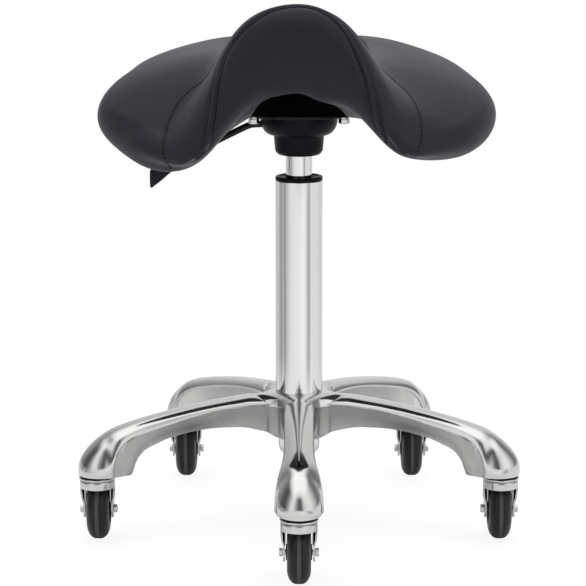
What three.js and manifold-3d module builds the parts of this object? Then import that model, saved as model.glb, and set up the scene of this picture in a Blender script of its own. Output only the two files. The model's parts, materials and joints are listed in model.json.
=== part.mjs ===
// A saddle stool: a padded saddle seat on a gas lift, over a polished five-star base with casters.
// Millimetres, +Z up. The floor is at z = 0, and the origin is the middle of the stool's own outline there.
// The stool faces -Y, and the lift lever is on its -X side.
import * as THREE from "three";
import { mergeVertices, toCreasedNormals } from "three/addons/utils/BufferGeometryUtils.js";
import Module from "manifold-3d";

const wasm = await Module();
wasm.setup();

// Driving dimensions
const legCount = 5;
const casterRadius = 223; // from the column's axis to each swivel axis
const wheelDiameter = 63.5;
const wheelWidth = 24;
const wheelTrail = 12; // each axle lies this far behind its swivel axis
const hubRise = 74.6; // from the underside of the feet to the top of the hub
const hubDepth = 51.5;
const tubeDiameter = 50; // outer tube of the gas lift
const tubeWall = 1.8;
const tubeShown = 227.5; // outer tube that stands above the hub
const tubeTail = 16; // and below it
const liftDiameter = 28; // gas cylinder
const liftWall = 2.2;
const liftShown = 22.3; // gas cylinder that shows between collar and bell, at the lowest height
const strokeMargin = 47.5; // shown tube that the lift's stroke leaves unused
const strokeLength = tubeShown - strokeMargin;
const leverSwing = 6.4; // degrees
const plateRadius = 58;
const plateThickness = 3.5;
const seatWidth = 416;
const seatLength = 331;
const seatFront = 128; // the front edge of the saddle, ahead of the column's axis
const seatRise = 118; // from the seat plate to the top of the pommel
const foamThickness = 90; // at the pommel
const fitGap = 0.3; // between pieces that meet
const runGap = 0.8; // between a turning wheel and what it passes
const cutOverrun = 4;

// Facets of round pieces
const columnFacets = 24;
const smallFacets = 12;
const pinFacets = 8;
const wheelFacets = 20; // a multiple of four, so that a wheel stands on a flat
const hexSides = 6;

const fullTurn = 2 * Math.PI;
const quarterTurn = fullTurn / 4;
const sector = fullTurn / legCount;

// Finishes
const finishes = {
  polishedAluminium: { color: 0xd9dadb, roughness: 0.12, metalness: 1 },
  chrome: { color: 0xe2e3e4, roughness: 0.06, metalness: 1 },
  zinc: { color: 0xb9bbbc, roughness: 0.3, metalness: 1 },
  darkSteel: { color: 0x1c1c1e, roughness: 0.5, metalness: 0.7 },
  bearingSteel: { color: 0x8f9294, roughness: 0.35, metalness: 1 },
  blackPlastic: { color: 0x151517, roughness: 0.42, metalness: 0 },
  blackRubber: { color: 0x101012, roughness: 0.5, metalness: 0 },
  blackLeather: { color: 0x1b1b20, roughness: 0.4, metalness: 0 },
};

// Solids and meshes

// Closed geometry with its vertices shared and no empty triangle.
function closed(geometry) {
  const bare = new THREE.BufferGeometry();
  bare.setAttribute("position", geometry.getAttribute("position").clone());
  if (geometry.index) bare.setIndex(geometry.index.clone());
  const merged = mergeVertices(bare);
  const kept = [];
  const index = merged.index.array;
  for (let i = 0; i < index.length; i += 3) {
    const [a, b, c] = index.slice(i, i + 3);
    if (a !== b && b !== c && c !== a) kept.push(a, b, c);
  }
  merged.setIndex(kept);
  return merged;
}

function solidOf(geometry) {
  const shared = closed(geometry);
  return new wasm.Manifold(
    new wasm.Mesh({
      numProp: 3,
      vertProperties: new Float32Array(shared.attributes.position.array),
      triVerts: new Uint32Array(shared.index.array),
    }),
  );
}

function geometryOf(solid) {
  const mesh = solid.getMesh();
  const points = [];
  for (let i = 0; i < mesh.numVert; i++) {
    for (let axis = 0; axis < 3; axis++) points.push(mesh.vertProperties[i * mesh.numProp + axis]);
  }
  const geometry = new THREE.BufferGeometry();
  geometry.setAttribute("position", new THREE.Float32BufferAttribute(points, 3));
  geometry.setIndex([...mesh.triVerts]);
  return geometry;
}

function joined(...geometries) {
  return geometryOf(geometries.map(solidOf).reduce((whole, next) => whole.add(next)));
}

function cutFrom(geometry, ...tools) {
  return geometryOf(tools.reduce((left, tool) => left.subtract(solidOf(tool)), solidOf(geometry)));
}

function common(geometry, other) {
  return geometryOf(solidOf(geometry).intersect(solidOf(other)));
}

// A solid of revolution about Z, from [radius, height] pairs that go up the outside.
function turned(profile, facets = columnFacets) {
  const points = profile.map(([radius, height]) => new THREE.Vector2(radius, height));
  return closed(new THREE.LatheGeometry(points, facets).rotateX(quarterTurn));
}

// A ring or tube about Z, whose profile closes on itself.
function turnedRing(profile, facets = columnFacets) {
  return turned([...profile, profile[0]], facets);
}

function rod(radius, low, high, facets = smallFacets) {
  return turned([[0, low], [radius, low], [radius, high], [0, high]], facets);
}

// The same, about X and from one side to the other.
function crossRod(radius, left, right, facets = smallFacets) {
  return rod(radius, left, right, facets).rotateY(quarterTurn);
}

function block(from, to) {
  const size = to.map((high, axis) => high - from[axis]);
  const middle = to.map((high, axis) => (high + from[axis]) / 2);
  return new THREE.BoxGeometry(...size).translate(...middle);
}

// An outline in X and Y, extruded from one height to another.
function prism(shape, low, high, curveSegments = smallFacets) {
  const settings = { depth: high - low, bevelEnabled: false, curveSegments };
  return new THREE.ExtrudeGeometry(shape, settings).translate(0, 0, low);
}

// Triangles gathered from quads, as closed geometry.
class Skin {
  constructor() {
    this.points = [];
  }
  triangle(a, b, c) {
    for (const point of [a, b, c]) this.points.push(point.x, point.y, point.z);
  }
  quad(a, b, c, d) {
    this.triangle(a, b, c);
    this.triangle(a, c, d);
  }
  geometry() {
    const geometry = new THREE.BufferGeometry();
    geometry.setAttribute("position", new THREE.Float32BufferAttribute(this.points, 3));
    return closed(geometry);
  }
}

// A solid through rings of equally many points, given from the bottom up and anticlockwise.
function lofted(rings) {
  const skin = new Skin();
  const count = rings[0].length;
  for (let level = 0; level + 1 < rings.length; level++) {
    for (let i = 0; i < count; i++) {
      const next = (i + 1) % count;
      skin.quad(rings[level][i], rings[level][next], rings[level + 1][next], rings[level + 1][i]);
    }
  }
  for (const [ring, up] of [[rings[0], false], [rings[rings.length - 1], true]]) {
    const middle = ring.reduce((sum, point) => sum.add(point), new THREE.Vector3());
    middle.divideScalar(count);
    for (let i = 0; i < count; i++) {
      const next = (i + 1) % count;
      if (up) skin.triangle(middle, ring[i], ring[next]);
      else skin.triangle(middle, ring[next], ring[i]);
    }
  }
  return skin.geometry();
}

// A smooth line through [place, height] pairs that never overshoots them.
function smoothLine(pairs) {
  const slopes = pairs.map((pair, i) => {
    if (i === 0 || i === pairs.length - 1) return 0;
    const before = (pair[1] - pairs[i - 1][1]) / (pair[0] - pairs[i - 1][0]);
    const after = (pairs[i + 1][1] - pair[1]) / (pairs[i + 1][0] - pair[0]);
    return before * after <= 0 ? 0 : (2 * before * after) / (before + after);
  });
  return (place) => {
    const last = pairs.length - 1;
    if (place <= pairs[0][0]) return pairs[0][1];
    if (place >= pairs[last][0]) return pairs[last][1];
    const i = pairs.findIndex((pair) => pair[0] > place) - 1;
    const width = pairs[i + 1][0] - pairs[i][0];
    const t = (place - pairs[i][0]) / width;
    const s = 1 - t;
    return (
      pairs[i][1] * s * s * (1 + 2 * t) +
      pairs[i + 1][1] * t * t * (1 + 2 * s) +
      width * s * t * (slopes[i] * s - slopes[i + 1] * t)
    );
  };
}

const mix = THREE.MathUtils.lerp;

const stool = new THREE.Group();

function addPiece(name, geometry, finish, parent = stool) {
  const creaseAngle = 0.6;
  const material = new THREE.MeshStandardMaterial(finishes[finish]);
  const mesh = new THREE.Mesh(toCreasedNormals(geometry, creaseAngle), material);
  mesh.name = name;
  parent.add(mesh);
  return mesh;
}

// Heights up to the feet: wheel, rivet, fork, stem flange and washer lie on top of each other
const axleHeight = wheelDiameter / 2;
const rivetThickness = 1.3;
const forkPlate = 1.6;
const flangeThickness = 2.6;
const washerThickness = 1.8;
const rivetLow = wheelDiameter + runGap;
const forkPlateLow = rivetLow + rivetThickness + fitGap;
const forkTop = forkPlateLow + forkPlate;
const flangeLow = forkTop + fitGap;
const flangeTop = flangeLow + flangeThickness;
const washerLow = flangeTop + fitGap;
const footLow = washerLow + washerThickness + fitGap;

// Heights of the column
const hubTop = footLow + hubRise;
const hubLow = hubTop - hubDepth;
const tubeTop = hubTop + tubeShown;
const tubeLow = hubLow - tubeTail;
const collarHeight = 4.2;
const collarTop = tubeTop + fitGap + collarHeight;
const bellLow = collarTop + liftShown;
const cupHeight = 20.7;
const bellRise = 22;
const bellTop = bellLow + cupHeight + bellRise;
const plateLow = bellTop + fitGap;
const plateTop = plateLow + plateThickness;

// Base casting: each leg is a crowned beam over a narrower wall, and the legs meet in filleted corners
const footNose = 20.3; // from the swivel axis to the end of the foot
const footHalfWidth = 24.5;
const legReach = casterRadius + footNose;
const tubeSeatDepth = 6; // the tube is straight this far into the hub, and tapers below
const tubeTaper = 3;
const lipBand = 1.4;
const lipInset = 2.2;
const legWall = 3.4;
const ribWidth = 3;
const filletRadius = 14;
const socketDepth = 27;
const stemRadius = 5.5;

// Lines of a leg, as shares of its reach and of the hub's rise over the feet
const crownShares = [
  [0.1, 1], [0.19, 0.996], [0.325, 0.96], [0.465, 0.905], [0.616, 0.82], [0.7, 0.764], [0.775, 0.705],
  [0.845, 0.634], [0.889, 0.558], [0.93, 0.458], [0.966, 0.337], [0.987, 0.232], [0.997, 0.124], [1, 0.06],
];
const lipShares = [
  [0.15, 0.852], [0.205, 0.876], [0.34, 0.858], [0.48, 0.79], [0.62, 0.69], [0.755, 0.572],
  [0.803, 0.498], [0.838, 0.397], [0.865, 0.25], [0.882, 0.12], [0.9, 0.058], [1, 0.055],
];
const underShares = [
  [0.09, 0.314], [0.17, 0.45], [0.226, 0.515], [0.3, 0.562], [0.41, 0.575], [0.48, 0.56], [0.62, 0.474],
  [0.67, 0.41], [0.715, 0.35], [0.745, 0.262], [0.765, 0.155], [0.778, 0.03], [0.786, 0], [1, 0],
];
const widthShares = [
  [0.17, 0.7], [0.25, 0.655], [0.42, 0.64], [0.6, 0.64], [0.7, 0.66], [0.76, 0.71], [0.8, 0.785],
  [0.84, 0.9], [0.872, 0.985], [0.9, 1], [0.925, 0.955], [0.95, 0.84], [0.975, 0.62], [0.99, 0.39],
  [1, 0.12],
];
const stationShares = [
  0.24, 0.34, 0.46, 0.58, 0.69, 0.755, 0.788, 0.825, 0.86, 0.895, 0.93, 0.967, 0.997,
];

function legLine(shares, low, rise) {
  return smoothLine(shares.map(([place, height]) => [place * legReach, low + height * rise]));
}
const crownLine = legLine(crownShares, footLow, hubRise);
const lipLine = legLine(lipShares, footLow, hubRise);
const underLine = legLine(underShares, footLow, hubRise);
const widthLine = legLine(widthShares, 0, footHalfWidth);

// Stations of a leg from the tube's seat outward, each with its middle, its edge, and how far its crown is
// a leg's rather than the hub's
function legStations(inset) {
  const hubSteps = 3;
  const filletSteps = 3;
  const boreRadius = tubeDiameter / 2 + fitGap;
  const neckHalf = widthLine(0);
  const filletAcross = neckHalf + filletRadius;
  const filletAlong = filletAcross / Math.tan(sector / 2);
  const filletStart = Math.PI + sector / 2;
  const filletEnd = 3 * quarterTurn;
  const valley = Math.hypot(filletAlong, filletAcross) - filletRadius - inset;
  const hubMiddle = valley + filletRadius / 2;
  const filletMiddle = filletAlong + filletRadius;
  const stations = [];
  for (let step = 0; step < hubSteps; step++) {
    const share = step / hubSteps;
    const edge = mix(boreRadius, valley, share);
    stations.push({
      middle: mix(boreRadius, hubMiddle, share),
      along: edge * Math.cos(sector / 2),
      across: edge * Math.sin(sector / 2),
      ring: 1 - share,
      valleyShare: share,
      crown: 0,
      open: false,
    });
  }
  for (let step = 0; step <= filletSteps; step++) {
    const share = step / filletSteps;
    const angle = mix(filletStart, filletEnd, share);
    stations.push({
      middle: mix(hubMiddle, filletMiddle, share),
      along: filletAlong + (filletRadius + inset) * Math.cos(angle),
      across: filletAcross + (filletRadius + inset) * Math.sin(angle),
      ring: 0,
      valleyShare: 1,
      crown: share,
      open: true,
    });
  }
  for (const share of stationShares) {
    const along = share * legReach;
    const across = widthLine(along) - inset;
    stations.push({
      middle: along,
      along,
      across: Math.max(across, fitGap),
      ring: 0,
      valleyShare: 1,
      crown: 1,
      open: true,
    });
  }
  return stations;
}

// A station's point at a share of its width, in the leg's own frame
function planPoint(station, side) {
  const bend = 1 - side * side;
  const along = station.along + (station.middle - station.along) * bend;
  const across = station.across * side;
  const radius = Math.hypot(station.along, station.across);
  const angle = (Math.asin(side) / quarterTurn) * (sector / 2);
  return [
    mix(along, radius * Math.cos(angle), station.ring === 1 ? 1 : 0),
    mix(across, radius * Math.sin(angle), station.ring === 1 ? 1 : 0),
  ];
}

function crownHeight(station, side) {
  const top = crownLine(station.middle);
  const lip = lipLine(Math.hypot(station.along, station.across));
  const valleyTop = mix(lip, crownLine(0), Math.sqrt(1 - station.valleyShare ** 2));
  const edge = station.open ? lip : valleyTop;
  const round = Math.sqrt(Math.max(0, 1 - side * side));
  const wave = (1 + Math.cos(Math.PI * side)) / 2;
  return edge + (top - edge) * mix(wave, round, station.crown);
}

function baseCasting() {
  const columns = 6;
  const spans = Array.from({ length: columns + 1 }, (_, i) => (2 * i) / columns - 1);
  const sides = spans.map((span) => Math.sin(quarterTurn * span));
  const outer = legStations(0);
  const inner = legStations(lipInset);
  const boreTop = tubeDiameter / 2 + fitGap;
  const boreLow = boreTop - tubeTaper;
  const skin = new Skin();
  for (let leg = 0; leg < legCount; leg++) {
    const turn = leg * sector - quarterTurn;
    const place = ([along, across], height) =>
      new THREE.Vector3(along, across, height).applyAxisAngle(new THREE.Vector3(0, 0, 1), turn);
    const across = (station, heightAt) =>
      sides.map((side) => place(planPoint(station, side), heightAt(side)));
    const top = outer.map((station) => across(station, (side) => crownHeight(station, side)));
    const under = inner.map((station, i) =>
      sides.map((side) => {
        const [along, across] = planPoint(station, side);
        const scale = i === 0 ? boreLow / boreTop : 1;
        return place([along * scale, across * scale], underLine(Math.hypot(along, across)));
      }),
    );
    const rimHeight = outer.map((station) => lipLine(Math.hypot(station.along, station.across)));
    const band = outer.map((station, i) => across(station, () => rimHeight[i] - lipBand));
    const wall = inner.map((station, i) => across(station, () => rimHeight[i] - lipBand - lipInset / 2));
    const strips = [[top, band], [band, wall], [wall, under]];
    const bore = sides.map((side) => place(planPoint(outer[0], side), hubTop - tubeSeatDepth));
    const last = outer.length - 1;
    for (let i = 0; i < last; i++) {
      for (let j = 0; j < columns; j++) {
        skin.quad(top[i][j], top[i + 1][j], top[i + 1][j + 1], top[i][j + 1]);
        skin.quad(under[i][j], under[i][j + 1], under[i + 1][j + 1], under[i + 1][j]);
      }
      if (!outer[i].open) continue;
      for (const [upper, lower] of strips) {
        skin.quad(upper[i][columns], upper[i + 1][columns], lower[i + 1][columns], lower[i][columns]);
        skin.quad(upper[i][0], lower[i][0], lower[i + 1][0], upper[i + 1][0]);
      }
    }
    for (let j = 0; j < columns; j++) {
      for (const [upper, lower] of strips) {
        skin.quad(upper[last][j], lower[last][j], lower[last][j + 1], upper[last][j + 1]);
      }
      skin.quad(top[0][j], top[0][j + 1], bore[j + 1], bore[j]);
      skin.quad(bore[j], bore[j + 1], under[0][j + 1], under[0][j]);
    }
  }
  const tools = [];
  for (let leg = 0; leg < legCount; leg++) {
    const turn = leg * sector - quarterTurn;
    const socket = rod(stemRadius + fitGap, footLow - cutOverrun, footLow + socketDepth);
    tools.push(socket.translate(casterRadius, 0, 0).rotateZ(turn));
    for (const pocket of legPockets()) tools.push(pocket.rotateZ(turn));
  }
  return cutFrom(skin.geometry(), ...tools);
}

// The hollow underside of a leg: two open pockets with a rib between them
function legPockets() {
  const pocketShares = [0.215, 0.32, 0.44, 0.56, 0.64, 0.735];
  const ribShare = 0.44;
  const places = pocketShares.map((share) => share * legReach);
  const middle = ribShare * legReach;
  const runs = [
    [...places.filter((place) => place < middle), middle - ribWidth / 2],
    [middle + ribWidth / 2, ...places.filter((place) => place > middle)],
  ];
  return runs.map((run) => {
    const rings = run.map((along) => {
      const half = widthLine(along) - lipInset - legWall;
      const high = lipLine(along) - lipBand;
      const low = underLine(along) - cutOverrun;
      const corners = [[-half, low], [half, low], [half, high], [-half, high]];
      return corners.map(([across, height]) => new THREE.Vector3(along, across, height));
    });
    return lofted(rings);
  });
}

addPiece("base_casting", baseCasting(), "polishedAluminium");

// Gas lift: outer tube, guide bush, thrust bearing, rod, piston, cylinder and valve pin
const tubeRadius = tubeDiameter / 2;
const tubeFloor = 3;
const tubeNose = 7;
const rodRadius = 5;
const rodTail = 4;
const bearingHeight = 4.5;
const bearingRadius = 14;
const shoulderHeight = 2.5;
const shoulderRadius = 9;
const bufferGap = 8; // between the rod's shoulder and the cylinder at the lowest height
const glandLength = 14;
const pistonLength = 10;
const bushLength = 75;
const liftRadius = liftDiameter / 2;
const cylinderLow = tubeLow + tubeFloor + bearingHeight + shoulderHeight + 2 * fitGap + bufferGap;
const glandTop = cylinderLow + glandLength + fitGap;
const pistonLow = glandTop + strokeLength + runGap;

function tubeOutline(inset) {
  const radius = tubeRadius - inset;
  const noseShares = [[0.5, 0], [0.17, 0.33], [0, 1]];
  return [
    ...noseShares.map(([inward, up]) => [
      radius - tubeTaper - inward * tubeNose,
      tubeLow + up * tubeNose,
    ]),
    [radius - tubeTaper, hubLow],
    [radius, hubTop - tubeSeatDepth],
    [radius, tubeTop],
  ];
}

function outerTube() {
  const outside = tubeOutline(0);
  const inside = tubeOutline(tubeWall).filter(([, height]) => height > tubeLow + tubeFloor);
  const floorRadius = inside[0][0];
  const hole = rodRadius + fitGap;
  return turnedRing([
    [hole, tubeLow],
    ...outside,
    ...inside.reverse(),
    [floorRadius, tubeLow + tubeFloor],
    [hole, tubeLow + tubeFloor],
  ]);
}

function guideBush() {
  const inside = liftRadius + fitGap;
  const outside = tubeRadius - tubeWall - fitGap;
  const flangeLow = tubeTop + fitGap;
  const edge = 1;
  const dish = 2;
  return turnedRing([
    [inside, tubeTop - bushLength],
    [outside, tubeTop - bushLength],
    [outside, flangeLow],
    [tubeRadius, flangeLow],
    [tubeRadius, collarTop - edge],
    [tubeRadius - edge, collarTop],
    [inside + dish, collarTop - edge],
    [inside, collarTop - dish],
  ]);
}

const bearingLow = tubeLow + tubeFloor + fitGap;
const shoulderLow = bearingLow + bearingHeight + fitGap;

function thrustBearing() {
  const inside = rodRadius + fitGap;
  const grooveDepth = 1.5;
  const raceHeight = bearingHeight / 3;
  return turnedRing(
    [
      [inside, bearingLow],
      [bearingRadius, bearingLow],
      [bearingRadius, bearingLow + raceHeight],
      [bearingRadius - grooveDepth, bearingLow + raceHeight],
      [bearingRadius - grooveDepth, bearingLow + bearingHeight - raceHeight],
      [bearingRadius, bearingLow + bearingHeight - raceHeight],
      [bearingRadius, bearingLow + bearingHeight],
      [inside, bearingLow + bearingHeight],
    ],
    smallFacets,
  );
}

const clipThickness = 1.2;
const clipGroove = 1;
const clipPlay = fitGap / 2;
const clipHigh = tubeLow - fitGap;

function pistonRod() {
  const groove = rodRadius - clipGroove;
  const clipLow = clipHigh - clipThickness;
  return turned(
    [
      [0, tubeLow - rodTail],
      [rodRadius, tubeLow - rodTail],
      [rodRadius, clipLow - fitGap],
      [groove, clipLow - fitGap],
      [groove, clipHigh + clipPlay],
      [rodRadius, clipHigh + clipPlay],
      [rodRadius, shoulderLow],
      [shoulderRadius, shoulderLow],
      [shoulderRadius, shoulderLow + shoulderHeight],
      [rodRadius, shoulderLow + shoulderHeight],
      [rodRadius, pistonLow],
      [0, pistonLow],
    ],
    smallFacets,
  );
}

// An open spring clip in the rod's groove, under the tube's floor
function retainingClip() {
  const inside = rodRadius - clipGroove + clipPlay;
  const outside = rodRadius + clipThickness + clipGroove;
  const opening = fullTurn / 12;
  const outline = new THREE.Shape();
  outline.absarc(0, 0, outside, opening, fullTurn - opening, false);
  outline.absarc(0, 0, inside, fullTurn - opening, opening, true);
  return prism(outline, clipHigh - clipThickness, clipHigh, pinFacets);
}

function piston() {
  const radius = liftRadius - liftWall - fitGap;
  const groove = 1.5;
  const low = pistonLow + fitGap;
  const third = pistonLength / 3;
  return turned(
    [
      [0, low],
      [radius, low],
      [radius, low + third],
      [radius - groove, low + third],
      [radius - groove, low + pistonLength - third],
      [radius, low + pistonLength - third],
      [radius, low + pistonLength],
      [0, low + pistonLength],
    ],
    smallFacets,
  );
}

// Lever height, and the heights that follow from it down to the cylinder's head
const leverRadius = 3.5;
const leverHeadroom = 8; // from the plate down to the top of the lever
const leverHeight = plateLow - leverHeadroom - leverRadius;
const pinCapHeight = 3;
const pinTravel = 3.1;
const pinTop = leverHeight - leverRadius - fitGap;
const pinCapLow = pinTop - pinCapHeight;
const cylinderTop = pinCapLow - pinTravel - fitGap;
const headThickness = 6;
const headTaper = 1;
const taperLength = 22;
const pinRadius = 3;
const pinCapRadius = 4.5;
const pinTail = 8; // valve pin inside the cylinder's head

function gasCylinder() {
  const inside = liftRadius - liftWall;
  const hole = pinRadius + fitGap;
  return turnedRing([
    [inside, cylinderLow],
    [liftRadius, cylinderLow],
    [liftRadius, cylinderTop - taperLength],
    [liftRadius - headTaper, cylinderTop],
    [hole, cylinderTop],
    [hole, cylinderTop - headThickness],
    [inside, cylinderTop - headThickness],
  ]);
}

function cylinderGland() {
  const outside = liftRadius - liftWall - fitGap;
  const inside = rodRadius + fitGap;
  const low = cylinderLow + fitGap;
  return turnedRing([[inside, low], [outside, low], [outside, glandTop], [inside, glandTop]], smallFacets);
}

function valvePin() {
  return turned([
    [0, cylinderTop - headThickness - pinTail],
    [pinRadius, cylinderTop - headThickness - pinTail],
    [pinRadius, pinCapLow],
    [pinCapRadius, pinCapLow],
    [pinCapRadius, pinTop],
    [0, pinTop],
  ], smallFacets);
}

addPiece("outer_tube", outerTube(), "chrome");
addPiece("guide_bush", guideBush(), "blackPlastic");
addPiece("thrust_bearing", thrustBearing(), "bearingSteel");
addPiece("piston_rod", pistonRod(), "chrome");
addPiece("retaining_clip", retainingClip(), "bearingSteel");
addPiece("piston", piston(), "bearingSteel");
addPiece("gas_cylinder", gasCylinder(), "chrome");
addPiece("cylinder_gland", cylinderGland(), "bearingSteel");
addPiece("valve_pin", valvePin(), "darkSteel");

// Seat plate with its taper socket and the two ears that carry the lever
const socketWall = 4.6;
const socketDrop = 34; // from the plate down over the cylinder's head
const socketRadius = liftRadius + fitGap + socketWall;
const leverPivot = 25; // from the column's axis to the lever's pin
const leverPinRadius = 2;
const leverBossRadius = 5.5;
const leverBossHalf = 4.6;
const earThickness = 2.6;
const earHalf = 3.6;
const earDrop = 3.6;
const seatBoltX = 47;
const seatBoltY = 20;
const boltRadius = 3;
const boltHeadFlats = 10;
const boltHeadHeight = 6.3;
const boltWasherRadius = 6.4;
const boltWasherThickness = 1.2;
const boltGrip = 3; // bolt above the plate, in the seat pan

function seatBoltPlaces() {
  const signs = [-1, 1];
  return signs.flatMap((front) => signs.map((side) => [side * seatBoltX, front * seatBoltY, front, side]));
}

// The way for the lever through a wall round the column, open up to the plate
function leverSlot(reach) {
  const slotRoom = 1.6; // under the lever
  const low = leverHeight - leverRadius - slotRoom;
  const half = leverRadius + runGap;
  return block([-reach, -half, low], [0, half, plateLow]);
}

function seatPlate() {
  const inside = liftRadius + fitGap;
  const disc = rod(plateRadius, plateLow, plateTop, columnFacets);
  const weldHeight = plateTop - plateThickness / 2;
  const socket = turnedRing([
    [inside, plateLow - socketDrop],
    [socketRadius, plateLow - socketDrop],
    [socketRadius, weldHeight],
    [inside, weldHeight],
  ]);
  const earLow = leverHeight - earDrop;
  const earInner = leverBossHalf + fitGap;
  const ears = [-1, 1].map((side) => {
    const near = side * earInner;
    const far = side * (earInner + earThickness);
    return block(
      [-leverPivot - earHalf, Math.min(near, far), earLow],
      [-leverPivot + earHalf, Math.max(near, far), weldHeight],
    );
  });
  const pinReach = earInner + earThickness + cutOverrun;
  const pinHole = crossRod(leverPinRadius + fitGap, -pinReach, pinReach).rotateZ(quarterTurn);
  pinHole.translate(-leverPivot, 0, leverHeight);
  const slot = leverSlot(socketRadius + cutOverrun);
  const bossRoom = block(
    [-leverPivot - leverBossRadius, -earInner, leverHeight - leverBossRadius - runGap],
    [-leverPivot + leverBossRadius + runGap, earInner, plateLow],
  );
  const boltHoles = seatBoltPlaces().map(([x, y]) => {
    const hole = rod(boltRadius + fitGap, plateLow - cutOverrun, plateTop + cutOverrun, pinFacets);
    return hole.translate(x, y, 0);
  });
  return cutFrom(joined(disc, socket, ...ears), slot, bossRoom, pinHole, ...boltHoles);
}

// A hex bolt from below, with its washer against the plate
function seatBolt() {
  const across = boltHeadFlats / 2 / Math.cos(Math.PI / hexSides);
  const washerHigh = plateLow - fitGap;
  const washerLow = washerHigh - boltWasherThickness;
  const head = rod(across, washerLow - boltHeadHeight, washerLow, hexSides);
  const washer = rod(boltWasherRadius, washerLow, washerHigh);
  const shank = rod(boltRadius, washerLow, plateTop + fitGap + boltGrip, pinFacets);
  return joined(head, washer, shank);
}

addPiece("seat_plate", seatPlate(), "darkSteel");
for (const [x, y, front, side] of seatBoltPlaces()) {
  const name = `seat_bolt_${front < 0 ? "front" : "rear"}_${side < 0 ? "left" : "right"}`;
  addPiece(name, seatBolt(), "zinc").position.set(x, y, 0);
}

// Bell housing round the socket
const bellRadius = 41;
const cupRadius = 26.6;
const cupDraft = 1.2;
const cupEdge = 7;
const stepWidth = 1.8;
const stepHeight = 0.8;
const bellWall = 2.8;
const bellRimHeight = 3;

function bellHousing() {
  const arcSteps = 3;
  const arc = (centreX, centreZ, radiusX, radiusZ, from, to) =>
    Array.from({ length: arcSteps + 1 }, (_, i) => {
      const angle = mix(from, to, i / arcSteps);
      return [centreX + radiusX * Math.cos(angle), centreZ + radiusZ * Math.sin(angle)];
    });
  const stepTop = bellLow + cupHeight + stepHeight;
  const curveRise = bellTop - bellRimHeight - stepTop;
  const cupFoot = cupRadius - cupDraft;
  const flare = cupRadius + stepWidth;
  const throat = liftRadius + runGap;
  const outside = [
    [throat, bellLow],
    ...arc(cupFoot - cupEdge, bellLow + cupEdge, cupEdge, cupEdge, -quarterTurn, 0),
    [cupRadius, bellLow + cupHeight],
    [flare, stepTop],
    ...arc(flare, bellTop - bellRimHeight, bellRadius - flare, curveRise, -quarterTurn, 0).slice(1),
    [bellRadius, bellTop],
  ];
  const middle = bellWall / 2; // of the wall, halfway up the curve
  const inside = [
    [bellRadius - bellWall, bellTop],
    [bellRadius - bellWall, bellTop - bellRimHeight],
    [(flare + bellRadius) / 2 - middle, stepTop + curveRise / 2 - middle],
    [cupRadius - bellWall, stepTop + bellWall],
    [cupFoot - bellWall, bellLow + cupEdge],
    [cupFoot - cupEdge, bellLow + bellWall],
    [throat, bellLow + bellWall],
  ];
  const gate = leverSlot(bellRadius + cutOverrun);
  return cutFrom(turnedRing([...outside, ...inside]), gate);
}

addPiece("bell_housing", bellHousing(), "blackPlastic");

// Lever: a cranked rod on a pin, with a flared paddle
const elbowReach = 51; // where the rod turns down, from the column's axis
const elbowLength = 7; // rod that bends, on each side of the elbow
const bendRadius = 4;
const leverSlope = 0.5;
const leverReach = 132;
const tipLength = 1; // the inner end, just past the column's axis and over the valve pin
const gripStart = 112;
const gripEnd = 157;
const gripThickness = 15;
const gripWall = 3;
const gripBore = leverRadius + fitGap;

function leverLevel(reach) {
  const past = reach - elbowReach;
  return leverHeight - (leverSlope * (past + Math.hypot(past, bendRadius) - bendRadius)) / 2;
}

function leverArm() {
  const bent = [elbowReach - elbowLength, elbowReach, elbowReach + elbowLength];
  const reaches = [-tipLength, leverPivot, ...bent, (elbowReach + elbowLength + leverReach) / 2, leverReach];
  const points = reaches.map((reach) => new THREE.Vector3(-reach, 0, leverLevel(reach)));
  const route = new THREE.CatmullRomCurve3(points);
  const section = new THREE.Shape().absarc(0, 0, leverRadius, 0, fullTurn, false);
  const settings = { extrudePath: route, steps: 9, curveSegments: 4, bevelEnabled: false };
  const arm = new THREE.ExtrudeGeometry(section, settings);
  const boss = crossRod(leverBossRadius, -leverBossHalf, leverBossHalf).rotateZ(quarterTurn);
  boss.translate(-leverPivot, 0, leverHeight);
  const hole = crossRod(leverPinRadius + fitGap, -leverBossHalf - cutOverrun, leverBossHalf + cutOverrun);
  hole.rotateZ(quarterTurn).translate(-leverPivot, 0, leverHeight);
  return cutFrom(joined(arm, boss), hole);
}

// The paddle widens towards its end, and its corners hang down
function leverGrip() {
  const gripShares = [
    [0, -0.36, 0.36], [0.3, -0.4, 0.42], [0.62, -0.6, 0.5], [0.85, -1.02, 0.52], [1, -1.3, 0.5],
  ];
  const flareShare = 0.33; // how much wider the end is
  const halfHeight = 12;
  const rings = gripShares.map(([place, lowShare, highShare]) => {
    const reach = mix(gripStart, gripEnd, place);
    const level = leverLevel(reach);
    const half = (gripThickness / 2) * (1 + flareShare * place);
    const low = level + lowShare * halfHeight;
    const high = level + highShare * halfHeight;
    const middle = (low + high) / 2;
    const tall = (high - low) / 2;
    const count = 12;
    return Array.from({ length: count }, (_, i) => {
      const angle = (fullTurn * i) / count;
      const round = (value) => Math.sign(value) * Math.sqrt(Math.abs(value));
      const [side, up] = [Math.cos(angle), Math.sin(angle)].map(round);
      return new THREE.Vector3(-reach, -half * side, middle + tall * up);
    });
  });
  const run = leverReach + fitGap - gripStart;
  const slope = Math.atan(leverSlope);
  const bore = crossRod(gripBore, -run / Math.cos(slope), cutOverrun).rotateY(-slope);
  bore.translate(-gripStart, 0, leverLevel(gripStart));
  return cutFrom(lofted(rings), bore);
}

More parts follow.
